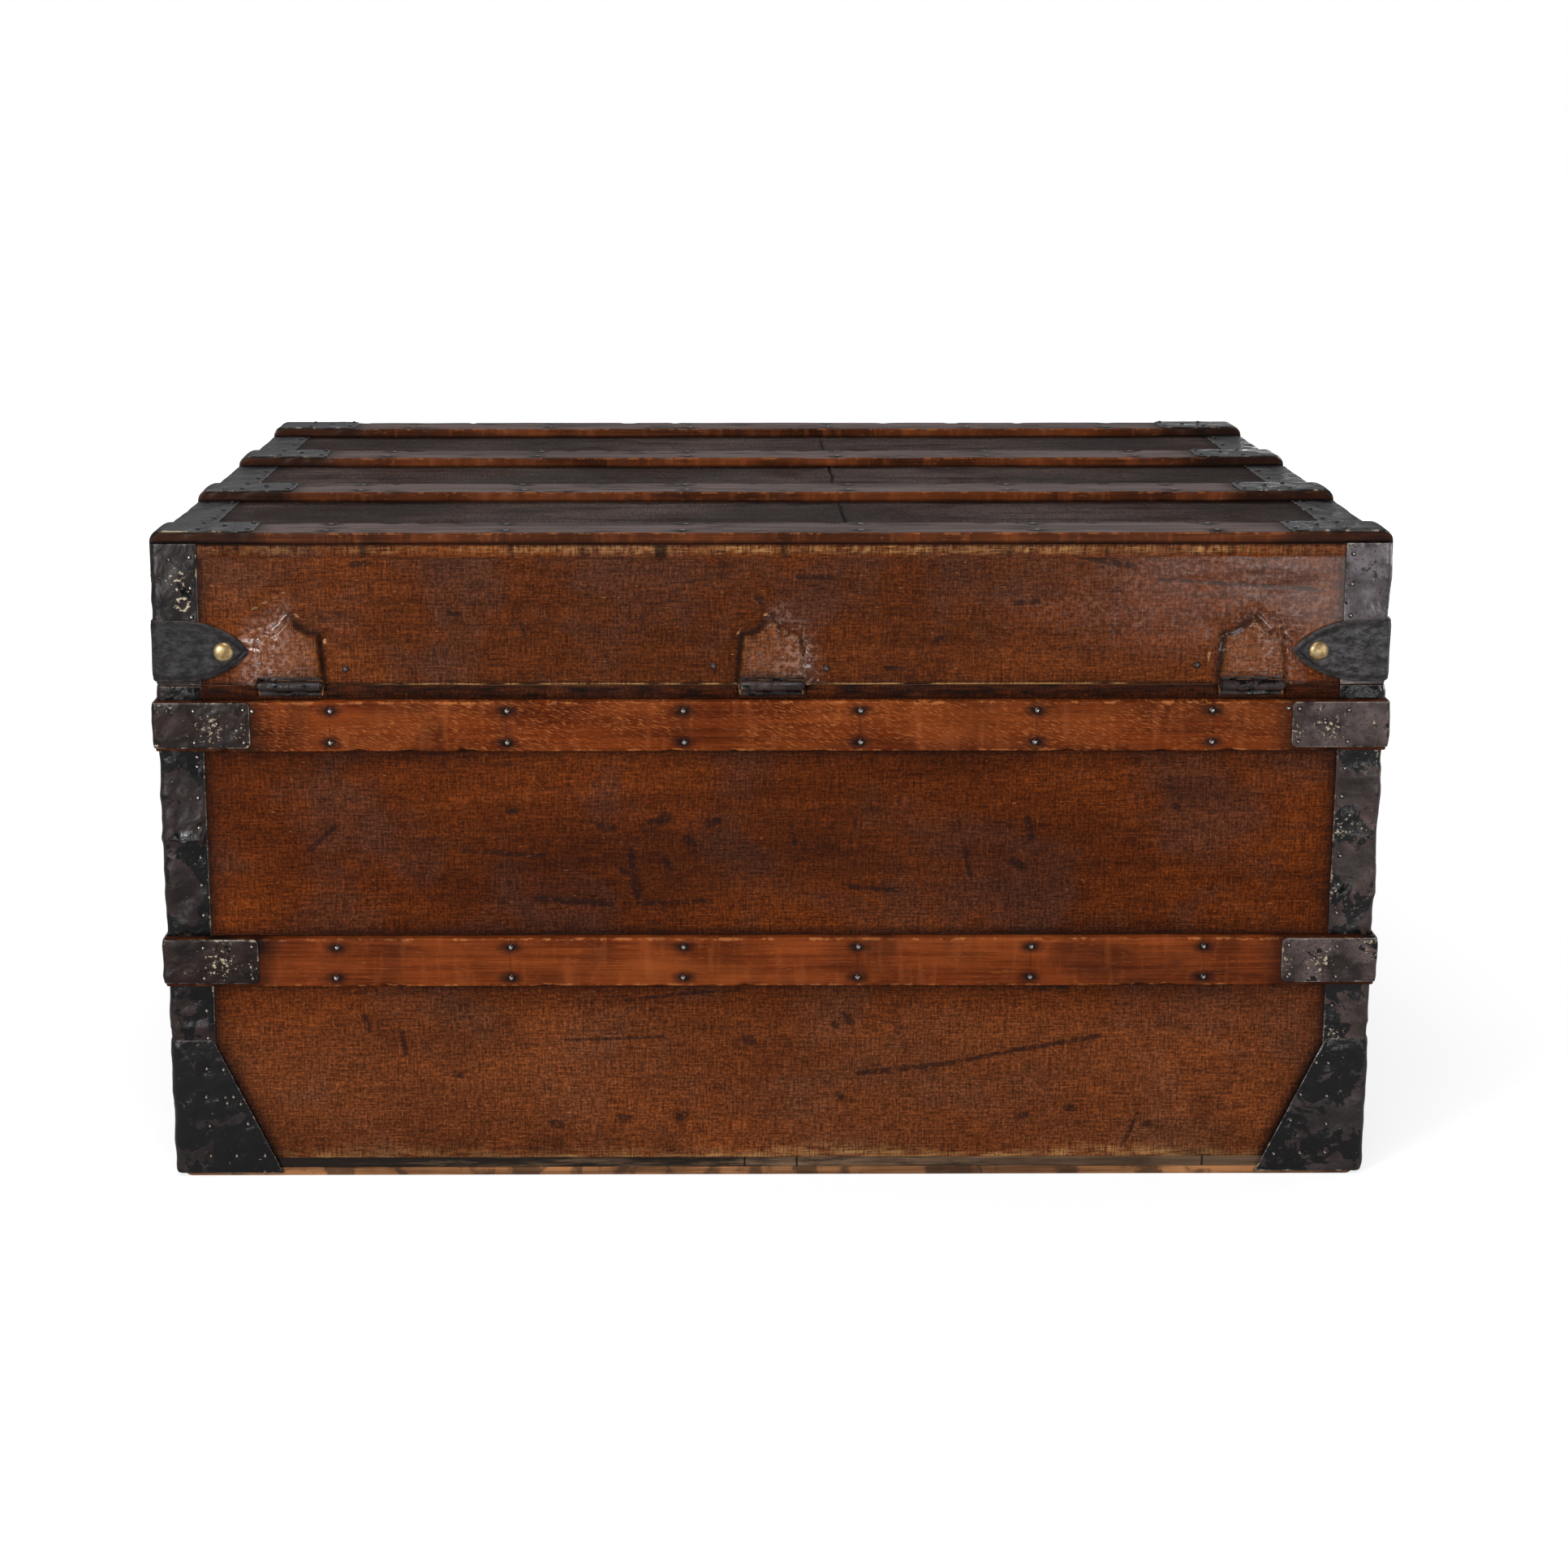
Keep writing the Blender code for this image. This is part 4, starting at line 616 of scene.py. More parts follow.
def skin(name, grid, thick, ring=False):
    """A mesh from grid[i][j] = (point, outward, lay, values), its rim turned in by the thickness."""
    def sunk(cell):
        return (cell[0] - cell[1] * thick, *cell[1:])

    grid = [[sunk(line[0]), *line, sunk(line[-1])] for line in grid]
    if not ring:
        grid = [[sunk(cell) for cell in grid[0]], *grid, [sunk(cell) for cell in grid[-1]]]
    tall = len(grid[0])
    cells = [cell for line in grid for cell in line]
    faces = []
    for i in range(len(grid) if ring else len(grid) - 1):
        a, b = i * tall, (i + 1) % len(grid) * tall
        faces += [(a + j, b + j, b + j + 1, a + j + 1) for j in range(tall - 1)]
    middle = faces[len(faces) // 2]
    p, q, r = (cells[index][0] for index in middle[:3])
    if (q - p).cross(r - q).dot(cells[middle[0]][1]) < 0:
        faces = [face[::-1] for face in faces]
    mesh = bpy.data.meshes.new(name)
    mesh.from_pydata([cell[0] for cell in cells], [], faces)
    lay = mesh.attributes.new("lay", "FLOAT_VECTOR", "POINT")
    lay.data.foreach_set("vector", [part for cell in cells for part in cell[2]])
    for label in LABELS:
        values = [cell[3].get(label, 0.0) for cell in cells]
        if any(values):
            mesh.attributes.new(label, "FLOAT", "POINT").data.foreach_set("value", values)
    mesh.shade_smooth()
    mesh.set_sharp_from_angle(angle=math.radians(40))
    return mesh


def hang(name, mesh, finish_used, body, slot, *stands_for):
    """Puts a piece in the scene, on a moving body, in place of the plain solids it stands for."""
    piece = bpy.data.objects.new(name, mesh)
    SCENE.collection.objects.link(piece)
    mesh.materials.append(finish_used)
    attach(piece, body)
    if stands_for:
        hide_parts(*stands_for)
    return piece


# %% Lines that turn a corner
FRINGE = (0.0, 0.0004, 0.0012, 0.0026, 0.0045)
TURNS = 6


def spaced(start, end, step):
    """Numbers from start to end, no further apart than step."""
    count = max(1, math.ceil(abs(end - start) / step))
    return [start + (end - start) * k / count for k in range(count + 1)]


def turned_line(corners, radius, step, side=1.0):
    """Stations (point, outward, distance) along a line with right-angled corners, rounded by a radius."""
    corners = [Vector(corner) for corner in corners]
    points = []
    last = len(corners) - 2
    for index, (a, b) in enumerate(zip(corners, corners[1:])):
        way = (b - a).normalized()
        start = radius if index > 0 else 0.0
        end = (b - a).length - (radius if index < last else 0.0)
        marks = spaced(start, end, step)
        if index == 0:
            marks += [start + gap for gap in FRINGE]
        if index == last:
            marks += [end - gap for gap in FRINGE]
        points += [a + way * mark for mark in sorted(set(round(mark, 6) for mark in marks))]
        if index < last:
            after = (corners[index + 2] - b).normalized()
            centre = b - way * radius + after * radius
            for turn in range(1, TURNS):
                angle = turn / TURNS * math.pi / 2
                points.append(centre - after * radius * math.cos(angle) + way * radius * math.sin(angle))
    stations, gone = [], 0.0
    for k, point in enumerate(points):
        before, after = points[max(k - 1, 0)], points[min(k + 1, len(points) - 1)]
        way = (after - before).normalized()
        gone += (point - before).length if k else 0.0
        stations.append((point, Vector((way.y, -way.x)) * side, gone))
    return stations


# %% Soft steps, bells, ripples and lumps
def soft(value, low, high):
    """0 below low, 1 above high, and smooth between."""
    share = min(1.0, max(0.0, (value - low) / (high - low)))
    return share * share * (3 - 2 * share)


def bell(share):
    """1 at 0, falling off smoothly to both sides."""
    return math.exp(-(share**2))


def fade(gap, reach):
    """1 up to 0, then falling off over a reach."""
    return math.exp(-max(gap, 0.0) / reach)


def ripple(x, y=0.0, seed=0.0):
    return noise.noise(Vector((x, y, seed)))


def lump(point, size, seed=0.0):
    return noise.noise(point / size + Vector((seed, seed * 1.7, -seed)))


def nearness(point, nails, reach=0.0042):
    """1 at a nail, falling to 0 around it."""
    gaps = ((point - at).length_squared for at in nails)
    return min(1.0, sum(math.exp(-gap / reach**2) for gap in gaps if gap < 9 * reach * reach))


# %% A nailed sheet
UP = Vector((0, 0, 1))
BACKWARD = Vector((0, -1, 0))
FRONTWARD = Vector((0, 1, 0))


def upright(flat, height):
    return Vector((flat.x, flat.y, height))


def lengthwise(flat, height):
    return Vector((flat.x, height, flat.y))


def sheet(name, stations, limits, thick, nails=(), lumps=0.0006, put=upright, rows=14, seed=0.0,
          shape=None, paint=None):
    """A nailed sheet along a line, a little battered. limits gives its two sides at each station."""
    length = stations[-1][2]
    grid = []
    for flat, outward, gone in stations:
        low, high = limits(flat, gone, length)
        tall = max(high - low, 0.0005)
        squeeze = min(1.0, tall / (4 * FRINGE[-1]))
        gaps = [gap * squeeze for gap in FRINGE]
        inner = [gaps[-1] + (tall - 2 * gaps[-1]) * k / (rows - 1) for k in range(1, rows - 1)]
        line = []
        for up in gaps + inner + [tall - gap for gap in reversed(gaps)]:
            at = low + up
            point, way = put(flat, at), put(outward, 0.0)
            rim = min(at - low, high - at, gone, length - gone)
            inside = soft(rim, 0.0, 0.006)
            held = nearness(point, nails)
            knocks = 1.6 * lump(point, 0.024, seed) + 0.55 * lump(point, 0.010, seed)
            knocks -= abs(lump(point, 0.019, seed + 3))
            rise = lumps * inside * (0.9 + knocks) * (1 - held)
            rise -= 0.0003 * (1 - soft(rim, 0.0, 0.001)) + 0.0004 * held * inside
            if shape:
                rise += shape(point, rim)
            values = {"edge": 1 - soft(rim, 0.0, 0.005)}
            if paint:
                values.update(paint(point))
            line.append((point + way * rise, way, Vector((gone + seed, at, 0.0)), values))
        grid.append(line)
    return skin(name, grid, thick)


# %% [markdown]
# # The measures of the trunk
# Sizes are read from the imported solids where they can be, so that each piece made here lies exactly where
# its plain solid lay. The rest, such as where the nails stand, was read from the picture. The lists of
# nails are in millimetres, for the left end under -1 and the right end under 1.

# %% Measures
CASE_LOW, CASE_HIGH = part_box("case_canvas")
LID_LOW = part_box("lid_canvas")[0].z
TOP_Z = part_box("lid_top_board")[1].z + 0.001
OUT_X, OUT_Y, RIM_Z = CASE_HIGH
PINS = [sum(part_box(f"hinge_pin_{side}"), Vector()) / 2 for side in ("left", "middle", "right")]
HINGE_Z = PINS[0].z
HINGE_XS = [pin.x for pin in PINS]
CORNERS = {"back_left": (-1, -1), "back_right": (1, -1), "front_left": (-1, 1), "front_right": (1, 1)}
SLATS = {name: [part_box(f"{face}_slat_{name}") for face in ("back", "front")] for name in ("upper", "lower")}
SLAT_EDGES = [z for boxes in SLATS.values() for z in (boxes[0][0].z, boxes[0][1].z)]
TOP_SLAT_YS = [(sum(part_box(f"lid_slat_{k}"), Vector()) / 2).y for k in (1, 2, 3, 4)]
FOOT_TOE, FOOT_LEG = 0.082, 0.033
print("canvas from", CASE_LOW[:], "to", CASE_HIGH[:])

# %% Where the nails stand
CASE_NAILS = {
    -1: mm(334.4, 327, 302.7, 279.6, 256.4, 234.5, 210.8, 134.7, 112.8),
    1: mm(324.6, 302.7, 279, 256.4, 233.9, 211.4, 137.7, 118.2),
}
LID_NAILS = {-1: mm(485.9, 462.8, 440.8), 1: mm(487.7, 465.2, 441.5)}
FOOT_NAILS = {
    -1: [mm(*pair) for pair in (
        (27.5, 88.4), (40.3, 87.5), (26.3, 65.3), (47, 65.3), (42.1, 60.4), (52.4, 59.8), (28.1, 41.8),
        (57.3, 43.4), (28.1, 17.2), (47.9, 17.2), (69.5, 17.2),
    )],
    1: [mm(*pair) for pair in (
        (39.5, 91.7), (30.3, 91.4), (50.4, 65.9), (30.3, 64.6), (57.1, 44.8), (29.7, 41.8), (68.7, 17.2),
        (48.6, 17.8), (29.7, 18.4),
    )],
}
CLAMP_NAILS = [mm(*pair) for pair in ((4.5, 4.5), (4.5, 29.5), (24, 19), (41, 4.5), (41, 28.5))]
NAILS = {"case": [], "lid": [], "lid_top": [], "lid_canvas": []}


def nail(body, at, outward, radius=0.0018, height=0.0012):
    NAILS[body].append((at.copy(), outward.copy(), radius, height))
    return at


# %% [markdown]
# # Irons on the case
# An angle iron runs down each upright corner, a clamp folds over the end of each slat, and a three-sided
# iron wraps each foot. All are folded round the corner, so one function makes them: it takes the box of
# the plain solid and the outline that the sheet has at each distance from the corner.

# %% A folded corner piece
def corner_sheet(solid, corner, body, finish_used, limits, nails, radius, thick=0.0008, step=0.0026, **shape):
    end, face = CORNERS[corner]
    low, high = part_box(solid)
    x_out, x_in = (low.x, high.x) if end < 0 else (high.x, low.x)
    y_out, y_in = (low.y, high.y) if face < 0 else (high.y, low.y)
    line = turned_line([(x_out, y_in), (x_out, y_out), (x_in, y_out)], radius, step, end * face)

    def sides(flat, gone, length):
        reach = max(abs(flat.x - x_out), abs(flat.y - y_out))
        return limits(reach, gone, length, low.z, high.z)

    spots = []
    for leg, reach, height in nails:
        if leg == "end":
            at, way = Vector((x_out, y_out - face * reach, height)), Vector((end, 0, 0))
        else:
            at, way = Vector((x_out - end * reach, y_out, height)), Vector((0, face, 0))
        spots.append(nail(body, at, way))
    mesh = sheet(solid + "_sheet", line, sides, thick, spots, **shape)
    return hang(solid + "_sheet", mesh, finish_used, body, "iron", solid)


# %% Outlines of the sheets
def straight(reach, gone, length, low, high):
    return low, high


def rounded_ends(radius):
    """A sheet whose cut end has rounded corners."""
    def limits(reach, gone, length, low, high):
        near = min(length - gone, gone)
        inset = 0.0
        if near < radius:
            inset = radius - math.sqrt(radius**2 - (radius - near) ** 2)
        return low + inset, high - inset
    return limits


CLAMP_ENDS = rounded_ends(0.004)


def foot(reach, gone, length, low, high):
    """The sloping top of a foot iron: full height by the corner, down to a blunt toe."""
    blunt = 0.0015
    share = (FOOT_TOE - reach) / (FOOT_TOE - FOOT_LEG)
    return low, low + blunt + (high - low - blunt) * min(1.0, max(0.0, share))


# %% Dents and bare spots
FOLDS = {
    "back_left": ((0.2690, 0.0040, 0.007), (0.1200, 0.0022, 0.006)),
    "back_right": ((0.2250, 0.0028, 0.008), (0.1235, 0.0022, 0.008), (0.3170, 0.0010, 0.006)),
    "front_left": ((0.1400, 0.0018, 0.008),),
    "front_right": ((0.2800, 0.0022, 0.007),),
}


def folded(folds):
    """Dents across a sheet: each is (height, how proud, how wide), steep below and sloping above."""
    def relief(point, rim):
        inner = 0.35 + 0.65 * (1 - soft(abs(point.x), 0.430, 0.449))
        rise = 0.0
        for at, proud, wide in folds:
            above = (point.z - at + 0.0015 * lump(point, 0.02, at)) / wide
            rise += proud * inner * math.exp(-above if above > 0 else 4 * above) * soft(rim, 0.0, 0.003)
        return rise
    return relief


def scuffs(*spots):
    """Where the coat is rubbed or crumbled off: rings given as (middle, radius, width, strength)."""
    def paint(point):
        return {"fray": max(s * bell(((point - Vector(m)).length - r) / w) for m, r, w, s in spots)}
    return paint


def blacker_near(heights, back_line=0.4265, end_line=0.2420):
    """Black japan is left where the sheet runs under a slat, and along its nails."""
    def paint(point):
        gap = min(abs(point.z - height) for height in heights)
        inner = abs(back_line - abs(point.x)) if abs(point.y) > OUT_Y else abs(end_line - abs(point.y))
        return {"dirt": min(1.0, math.exp(-gap / 0.016) + 0.55 * math.exp(-inner / 0.005))}
    return paint


# %% Angle irons, clamps and foot irons of the case
EDGE_BEND, FOOT_BEND, CLAMP_BEND = 0.0051, 0.0062, 0.0033
CLAMP_END_NAILS = ((0.0255, 0.0055), (0.0255, 0.029), (0.012, 0.017))


def both_legs(pairs):
    return [(leg, reach, height) for leg in ("end", "back") for reach, height in pairs]


for seed, (corner, (end, face)) in enumerate(CORNERS.items()):
    side = end if face < 0 else -end
    dice = random.Random(seed)
    pairs = [(0.0283 + dice.uniform(-0.0007, 0.0007), height) for height in CASE_NAILS[side]]
    corner_sheet(
        f"case_edge_iron_{corner}", corner, "case", IRONS[side], straight, both_legs(pairs), EDGE_BEND,
        rows=150, seed=seed * 1.37, lumps=0.0009, shape=folded(FOLDS[corner]), paint=blacker_near(SLAT_EDGES),
    )
    corner_sheet(
        f"corner_iron_{corner}", corner, "case", CORNER_IRONS[side], foot, both_legs(FOOT_NAILS[side]),
        FOOT_BEND, rows=44, seed=5 + seed * 1.91, lumps=0.0008,
    )
    for level in ("upper", "lower"):
        solid = f"{corner}_clamp_{level}"
        low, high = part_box(solid)
        reach = high.x - low.x
        outer = (low if end < 0 else high).x
        y_out = (low if face < 0 else high).y
        pairs = [("back", reach - inward, low.z + up) for inward, up in CLAMP_NAILS]
        pairs += [("end", inward, low.z + up) for inward, up in CLAMP_END_NAILS]
        bare = scuffs(
            ((outer - end * (reach - 0.028), y_out, low.z + 0.016), 0.0, 0.013, 1.0),
            ((outer - end * (reach - 0.004), y_out, low.z + 0.012), 0.0, 0.009, 0.8),
        )
        corner_sheet(
            solid, corner, "case", CLAMP_IRONS[side], CLAMP_ENDS, pairs, CLAMP_BEND, thick=0.001, step=0.0020,
            rows=18, seed=9 + seed * 2.3 + (level == "lower"), lumps=0.0007, paint=bare,
        )

# %% [markdown]
# # Irons on the lid
# The lid has the same angle irons at its corners, and a long one over each end of its top. The clamps of
# the top slats fold over the slats' rounded ends and down the end of the lid, so their line is drawn
# in the upright plane instead of the flat one.

# %% Corner irons of the lid
NAIL_IN = 0.0290
for seed, (corner, (end, face)) in enumerate(CORNERS.items()):
    side = end if face < 0 else -end
    pairs = [("back", NAIL_IN, height) for height in LID_NAILS[side]]
    pairs += [("end", NAIL_IN, height) for height in LID_NAILS[side][1:]]
    if face > 0:
        pairs += both_legs([(NAIL_IN, 0.398), (NAIL_IN, 0.420)])
    ring = ((end * 0.4324, face * 0.2711, 0.4507), 0.0046, 0.0017, 1.7)
    worn_spot = ((end * 0.4370, face * 0.2711, 0.4700), 0.0, 0.010, 1.0)
    corner_sheet(
        f"lid_edge_iron_{corner}", corner, "lid", LID_IRONS[side], straight, pairs, EDGE_BEND,
        rows=44, seed=20 + seed * 1.3, lumps=0.0010, paint=scuffs(ring, worn_spot) if side < 0 else None,
    )

# %% End irons and the clamps on the top slats
CLAMP_REACH, CLAMP_DROP, CLAMP_HALF = 0.076, 0.031, 0.01725


def lid_sheet(name, solid, line, limits, thick, spots, **shape):
    """A sheet drawn in the upright plane, over an end of the lid."""
    mesh = sheet(name, line, limits, thick, spots, put=lengthwise, **shape)
    hang(name, mesh, LID_TOP_IRON, "lid", "iron", solid)


for end, side in ((-1, "left"), (1, "right")):
    solid = f"lid_end_iron_{side}"
    low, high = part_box(solid)
    outward = Vector((end, 0, 0))
    x_out = (low if end < 0 else high).x
    iron_x, iron_top = x_out - end * 0.0008, TOP_Z + 0.0011
    spots = []
    dice = random.Random(7 + end)
    for k in range(15):
        y = -0.25 + 0.5 * k / 14 + dice.uniform(-0.002, 0.002)
        if min(abs(y - slat_y) for slat_y in TOP_SLAT_YS) > 0.022:
            spots.append(nail("lid_top", Vector((iron_x - end * 0.0285, y, iron_top)), UP))
            spots.append(nail("lid", Vector((iron_x, y, low.z + 0.0055)), outward))
    line = [(iron_x, low.z), (iron_x, iron_top), (iron_x - end * 0.0338, iron_top)]
    reach_y = CASE_HIGH.y - 0.0035
    lid_sheet(
        solid + "_sheet", solid, turned_line(line, 0.0016, 0.0042, end),
        lambda flat, gone, length: (-reach_y, reach_y), 0.0008, spots, rows=120, seed=30 + end, lumps=0.0004,
    )
    for k, y in enumerate(TOP_SLAT_YS):
        foot_z = TOP_Z - CLAMP_DROP
        spots = []
        for inward, across in CLAMP_NAILS:
            at = Vector((x_out - end * (CLAMP_REACH - inward), y + across - 0.017, high.z))
            spots.append(nail("lid_top", at, UP))
        for across, up in ((-0.0118, 0.006), (0.0118, 0.006), (0.0, 0.018)):
            spots.append(nail("lid", Vector((x_out, y + across, foot_z + up)), outward))
        line = [(x_out, foot_z), (x_out, high.z), (x_out - end * CLAMP_REACH, high.z)]
        lid_sheet(
            f"lid_clamp_{side}_{k + 1}", solid, turned_line(line, 0.0088, 0.003, end),
            lambda flat, gone, length: CLAMP_ENDS(0, gone, length, y - CLAMP_HALF, y + CLAMP_HALF),
            0.001, spots, rows=9, seed=40 + k * 1.7 + end, lumps=0.0005,
        )

# %% [markdown]
# # Slats
# Each slat is a bar with softened long edges and rounded ends, drawn as one outline that travels along it.
# Kicks and ropes have left small nicks in its edges. A slat is made lying flat at the origin and then
# turned on to its face, so that its grain, nail stains and worn edges can be worked out the same way.

# %% One slat
SLAT_WIDE, SLAT_EASE = 0.038, 0.0014
UNDER_IRONS = 0.4208


def slat_outline(thick):
    """Points round a slat's section, and how near each is to an outer long edge."""
    half, ease = SLAT_WIDE / 2, SLAT_EASE
    points = [(-half, 0.0, 0.0), (-half, thick * 0.3, 0.0), (-half, thick * 0.62, 0.3)]
    for turn in range(5):
        angle = turn / 4 * math.pi / 2
        points.append((-half + ease - ease * math.cos(angle), thick - ease + ease * math.sin(angle), 1.0))
    points += [(-half + ease + 0.0015, thick, 0.55), (-half + ease + 0.004, thick, 0.15)]
    points += [(-0.010, thick, 0.0), (-0.005, thick, 0.0)]
    return points + [(0.0, thick, 0.0)] + [(-y, z, near) for y, z, near in reversed(points)]


def slat_mesh(name, half, thick, end_round, seed, wavy, rayed):
    dice = random.Random(seed)
    nicks = []
    for _ in range(34):
        at, side = dice.uniform(-half, half), dice.choice((-1, 1))
        nicks.append((at, side, dice.uniform(0.0004, 0.0018), dice.uniform(0.002, 0.007)))
    tips = [half - gap for gap in (0.0, 0.0003, 0.0010, 0.0020, 0.0035, 0.0055)]
    marks = spaced(-half + 0.008, half - 0.008, 0.0026) + tips + [-tip for tip in tips]
    marks = sorted({round(mark, 5) for mark in marks})
    grid = []
    for x in marks:
        from_tip = half - abs(x)
        drop = 0.0
        if from_tip < end_round:
            drop = end_round - math.sqrt(end_round**2 - (end_round - from_tip) ** 2)
        line = []
        for y, z, near in slat_outline(thick):
            bite = 0.0
            for at, side, deep, long in nicks:
                if side * y > 0 and near > 0.2:
                    bite += deep * near * bell((x - at) / long)
            base = Vector((x, y + wavy * ripple(x * 14, seed * 3.1), z))
            way = Vector((0.0, y, 0.0)) if 0 < z < thick * 0.9 else Vector((0.0, y * 0.4, 0.01))
            way = way.normalized()
            point = base - way * bite
            point.z = max(point.z - drop * (z / thick), 0.0)
            point.z += 0.00025 * lump(base, 0.03, seed) * (z / thick)
            if abs(x) > UNDER_IRONS:
                point.z = max(point.z, 0.0012)
            # Darker at the foot, where the slat meets the canvas, and near the clamps: grime and painted
            # shade.
            grime_and_shade = 0.75 * (1 - soft(z, 0.0, 0.0025)) + 0.75 * soft(abs(x), 0.362, 0.388)
            grime_and_shade += 0.3 * soft(ripple(x * 30, y * 40, seed), 0.3, 0.7)
            flat_top = 1.0 if z >= thick * 0.97 else 0.0
            values = {"edge": near, "top": flat_top, "dirt": min(1.0, grime_and_shade), "fray": rayed}
            line.append((point, way, Vector((x + 8 * NAIL_STEP * seed, y, z)), values))
        grid.append(line)
    return skin(name, grid, 0.0009)


OUTWARD = {"back": BACKWARD, "front": FRONTWARD, "top": UP}


def lay_slat(name, solid, body, finish_used, turn, seed, end_round, wavy, rayed=0.0):
    low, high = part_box(solid)
    thick = min(high.y - low.y, high.z - low.z)
    mesh = slat_mesh(name, (high.x - low.x) / 2, thick, end_round, seed, wavy, rayed)
    piece = hang(name, mesh, finish_used, body, "slat", solid)
    out, along = OUTWARD[turn], Vector((1, 0, 0))
    place = Matrix((along, out.cross(along), out)).transposed().to_4x4()
    place.translation = (low + high) / 2 - out * thick / 2
    piece.matrix_world = place


# %% All slats and their nails
for k in (1, 2, 3, 4):
    lay_slat(f"top_slat_{k}", f"lid_slat_{k}", "lid", TOP_SLAT, "top", k, 0.0084, 0.0006)
for index, (face, level) in enumerate((f, l) for f in ("back", "front") for l in ("upper", "lower")):
    rayed, varnished = (1.0, SLAT) if level == "upper" else (0.12, LOWER_SLAT)
    name, solid = f"{face}_{level}_slat", f"{face}_slat_{level}"
    lay_slat(name, solid, "case", varnished, face, index + 5, 0.003, 0.0003, rayed)

dice = random.Random(3)
for k in range(-3, 3):
    x = (k + 0.5) * NAIL_STEP
    for side in (-1, 1):
        for y in TOP_SLAT_YS:
            spot = Vector((x + dice.uniform(-0.002, 0.002), y + side * NAIL_SPREAD, TOP_Z + 0.0085))
            nail("lid_top", spot, UP, 0.0024, 0.0006)
        for level, boxes in SLATS.items():
            for face, (low, high) in zip((-1, 1), boxes):
                spot = Vector((x, (low if face < 0 else high).y, (low.z + high.z) / 2 + side * NAIL_SPREAD))
                spot.x += dice.uniform(-0.001, 0.001)
                nail("case", spot, Vector((0, face, 0)), 0.0026, 0.0015)
print("nails so far:", sum(len(spots) for spots in NAILS.values()))

# %% [markdown]
# # Canvas skins
# The case wears one canvas round its four walls, with a rolled rim at the top. The lid wears another, and
# over each hinge leaf it is stretched like a tent over a small roof. Its shape there comes from the
# distance to the outline of the leaf: flat on the leaf, then sloping down to the board. A separate sheet
# covers the top. Its edge is turned down over the back as a flap with a faint tan band and some stains.

# %% The roof shape over a hinge
LEAF_HALF, LEAF_NARROW, LEAF_EAVES, LEAF_PEAK = 0.02245, 0.0032, 0.036, 0.0125
ROOF = [(LEAF_HALF, 0.0)]
ROOF += [((LEAF_HALF - LEAF_NARROW) * (1 - k / 4), LEAF_EAVES + LEAF_PEAK * (k / 4) ** 2.2) for k in range(5)]
ROOF += [(-u, v) for u, v in reversed(ROOF[:-1])]


def roof_distance(u, v):
    """Distance from the leaf's outline, below zero inside it."""
    nearest, inside = 1.0, False
    for (a, b), (c, d) in zip(ROOF, ROOF[1:] + ROOF[:1]):
        along = max(0.0, min(1.0, ((u - a) * (c - a) + (v - b) * (d - b)) / ((c - a) ** 2 + (d - b) ** 2)))
        nearest = min(nearest, math.hypot(u - a - along * (c - a), v - b - along * (d - b)))
        if (b > v) != (d > v) and u < (c - a) * (v - b) / (d - b) + a:
            inside = not inside
    return -nearest if inside else nearest


CREASES = [
    ((-0.400, 0.449), (-0.350, 0.477), 0.0032, 0.0022),
    ((-0.392, 0.441), (-0.345, 0.466), 0.0030, -0.0012),
    ((0.330, 0.4790), (0.410, 0.4740), 0.0020, 0.0005),
    ((0.285, 0.4683), (0.405, 0.4604), 0.0018, -0.0006),
    ((0.300, 0.4860), (0.390, 0.4820), 0.0018, 0.0004),
    ((-0.180, 0.4360), (-0.176, 0.4240), 0.0012, -0.0009),
    ((-0.067, 0.443), (-0.040, 0.427), 0.0011, 0.0007),
    ((-0.021, 0.413), (-0.004, 0.402), 0.0010, 0.0006),
    ((-0.386, 0.4185), (-0.374, 0.4172), 0.0010, -0.0007),
]


def crease(x, z, start, end, wide):
    """1 on a line from start to end, falling off across it and toward its ends."""
    way = Vector(end) - Vector(start)
    along = (Vector((x, z)) - Vector(start)).dot(way) / way.length_squared
    aside = (Vector((x, z)) - Vector(start) - way * along).length
    return bell(aside / wide) * soft(along, -0.1, 0.3) * (1 - soft(along, 0.7, 1.1))


def tented(x, z):
    """How far the lid's canvas stands out at a point of its back."""
    rise = 0.0
    for index, middle in enumerate(HINGE_XS):
        u, v = x - middle, z - HINGE_Z
        if abs(u) > 0.062 or v > 0.085:
            continue
        gap = roof_distance(u, v)
        run = 0.0050 + 0.0016 * ripple(x * 90, z * 90, 1.0)
        if index == 0 and u < 0:
            run += 0.022 * soft(-u, 0.012, 0.026) * (1 - soft(v, 0.030, 0.044))
        if index == 1 and u > 0:
            run += 0.005 * (1 - soft(v, 0.015, 0.035))
        if index == 2 and u < 0:
            run += 0.004 * (1 - soft(v, 0.020, 0.035))
        rise = max(rise, 0.0041 * (1 - soft(gap, -0.0008, run)) ** 1.25)
        pull = 1 - soft(gap, 0.0, 0.03)
        rise += pull * (0.0009 * ripple(x * 110, z * 70, 4.0) + 0.0004 * ripple(x * 300, z * 300, 6.0))
        rise -= 0.0007 * bell((gap - run - 0.002) / 0.003) * (1 - soft(v, 0.05, 0.07))
    for start, end, wide, tall in CREASES:
        rise += tall * crease(x, z, start, end, wide)
    return rise


# %% The line round a box
BOX_BEND = 0.004
BARREL_HALF = 0.0241
HINGE_REACH = 0.046
IRONS_X, IRONS_Y = 0.4212, 0.236


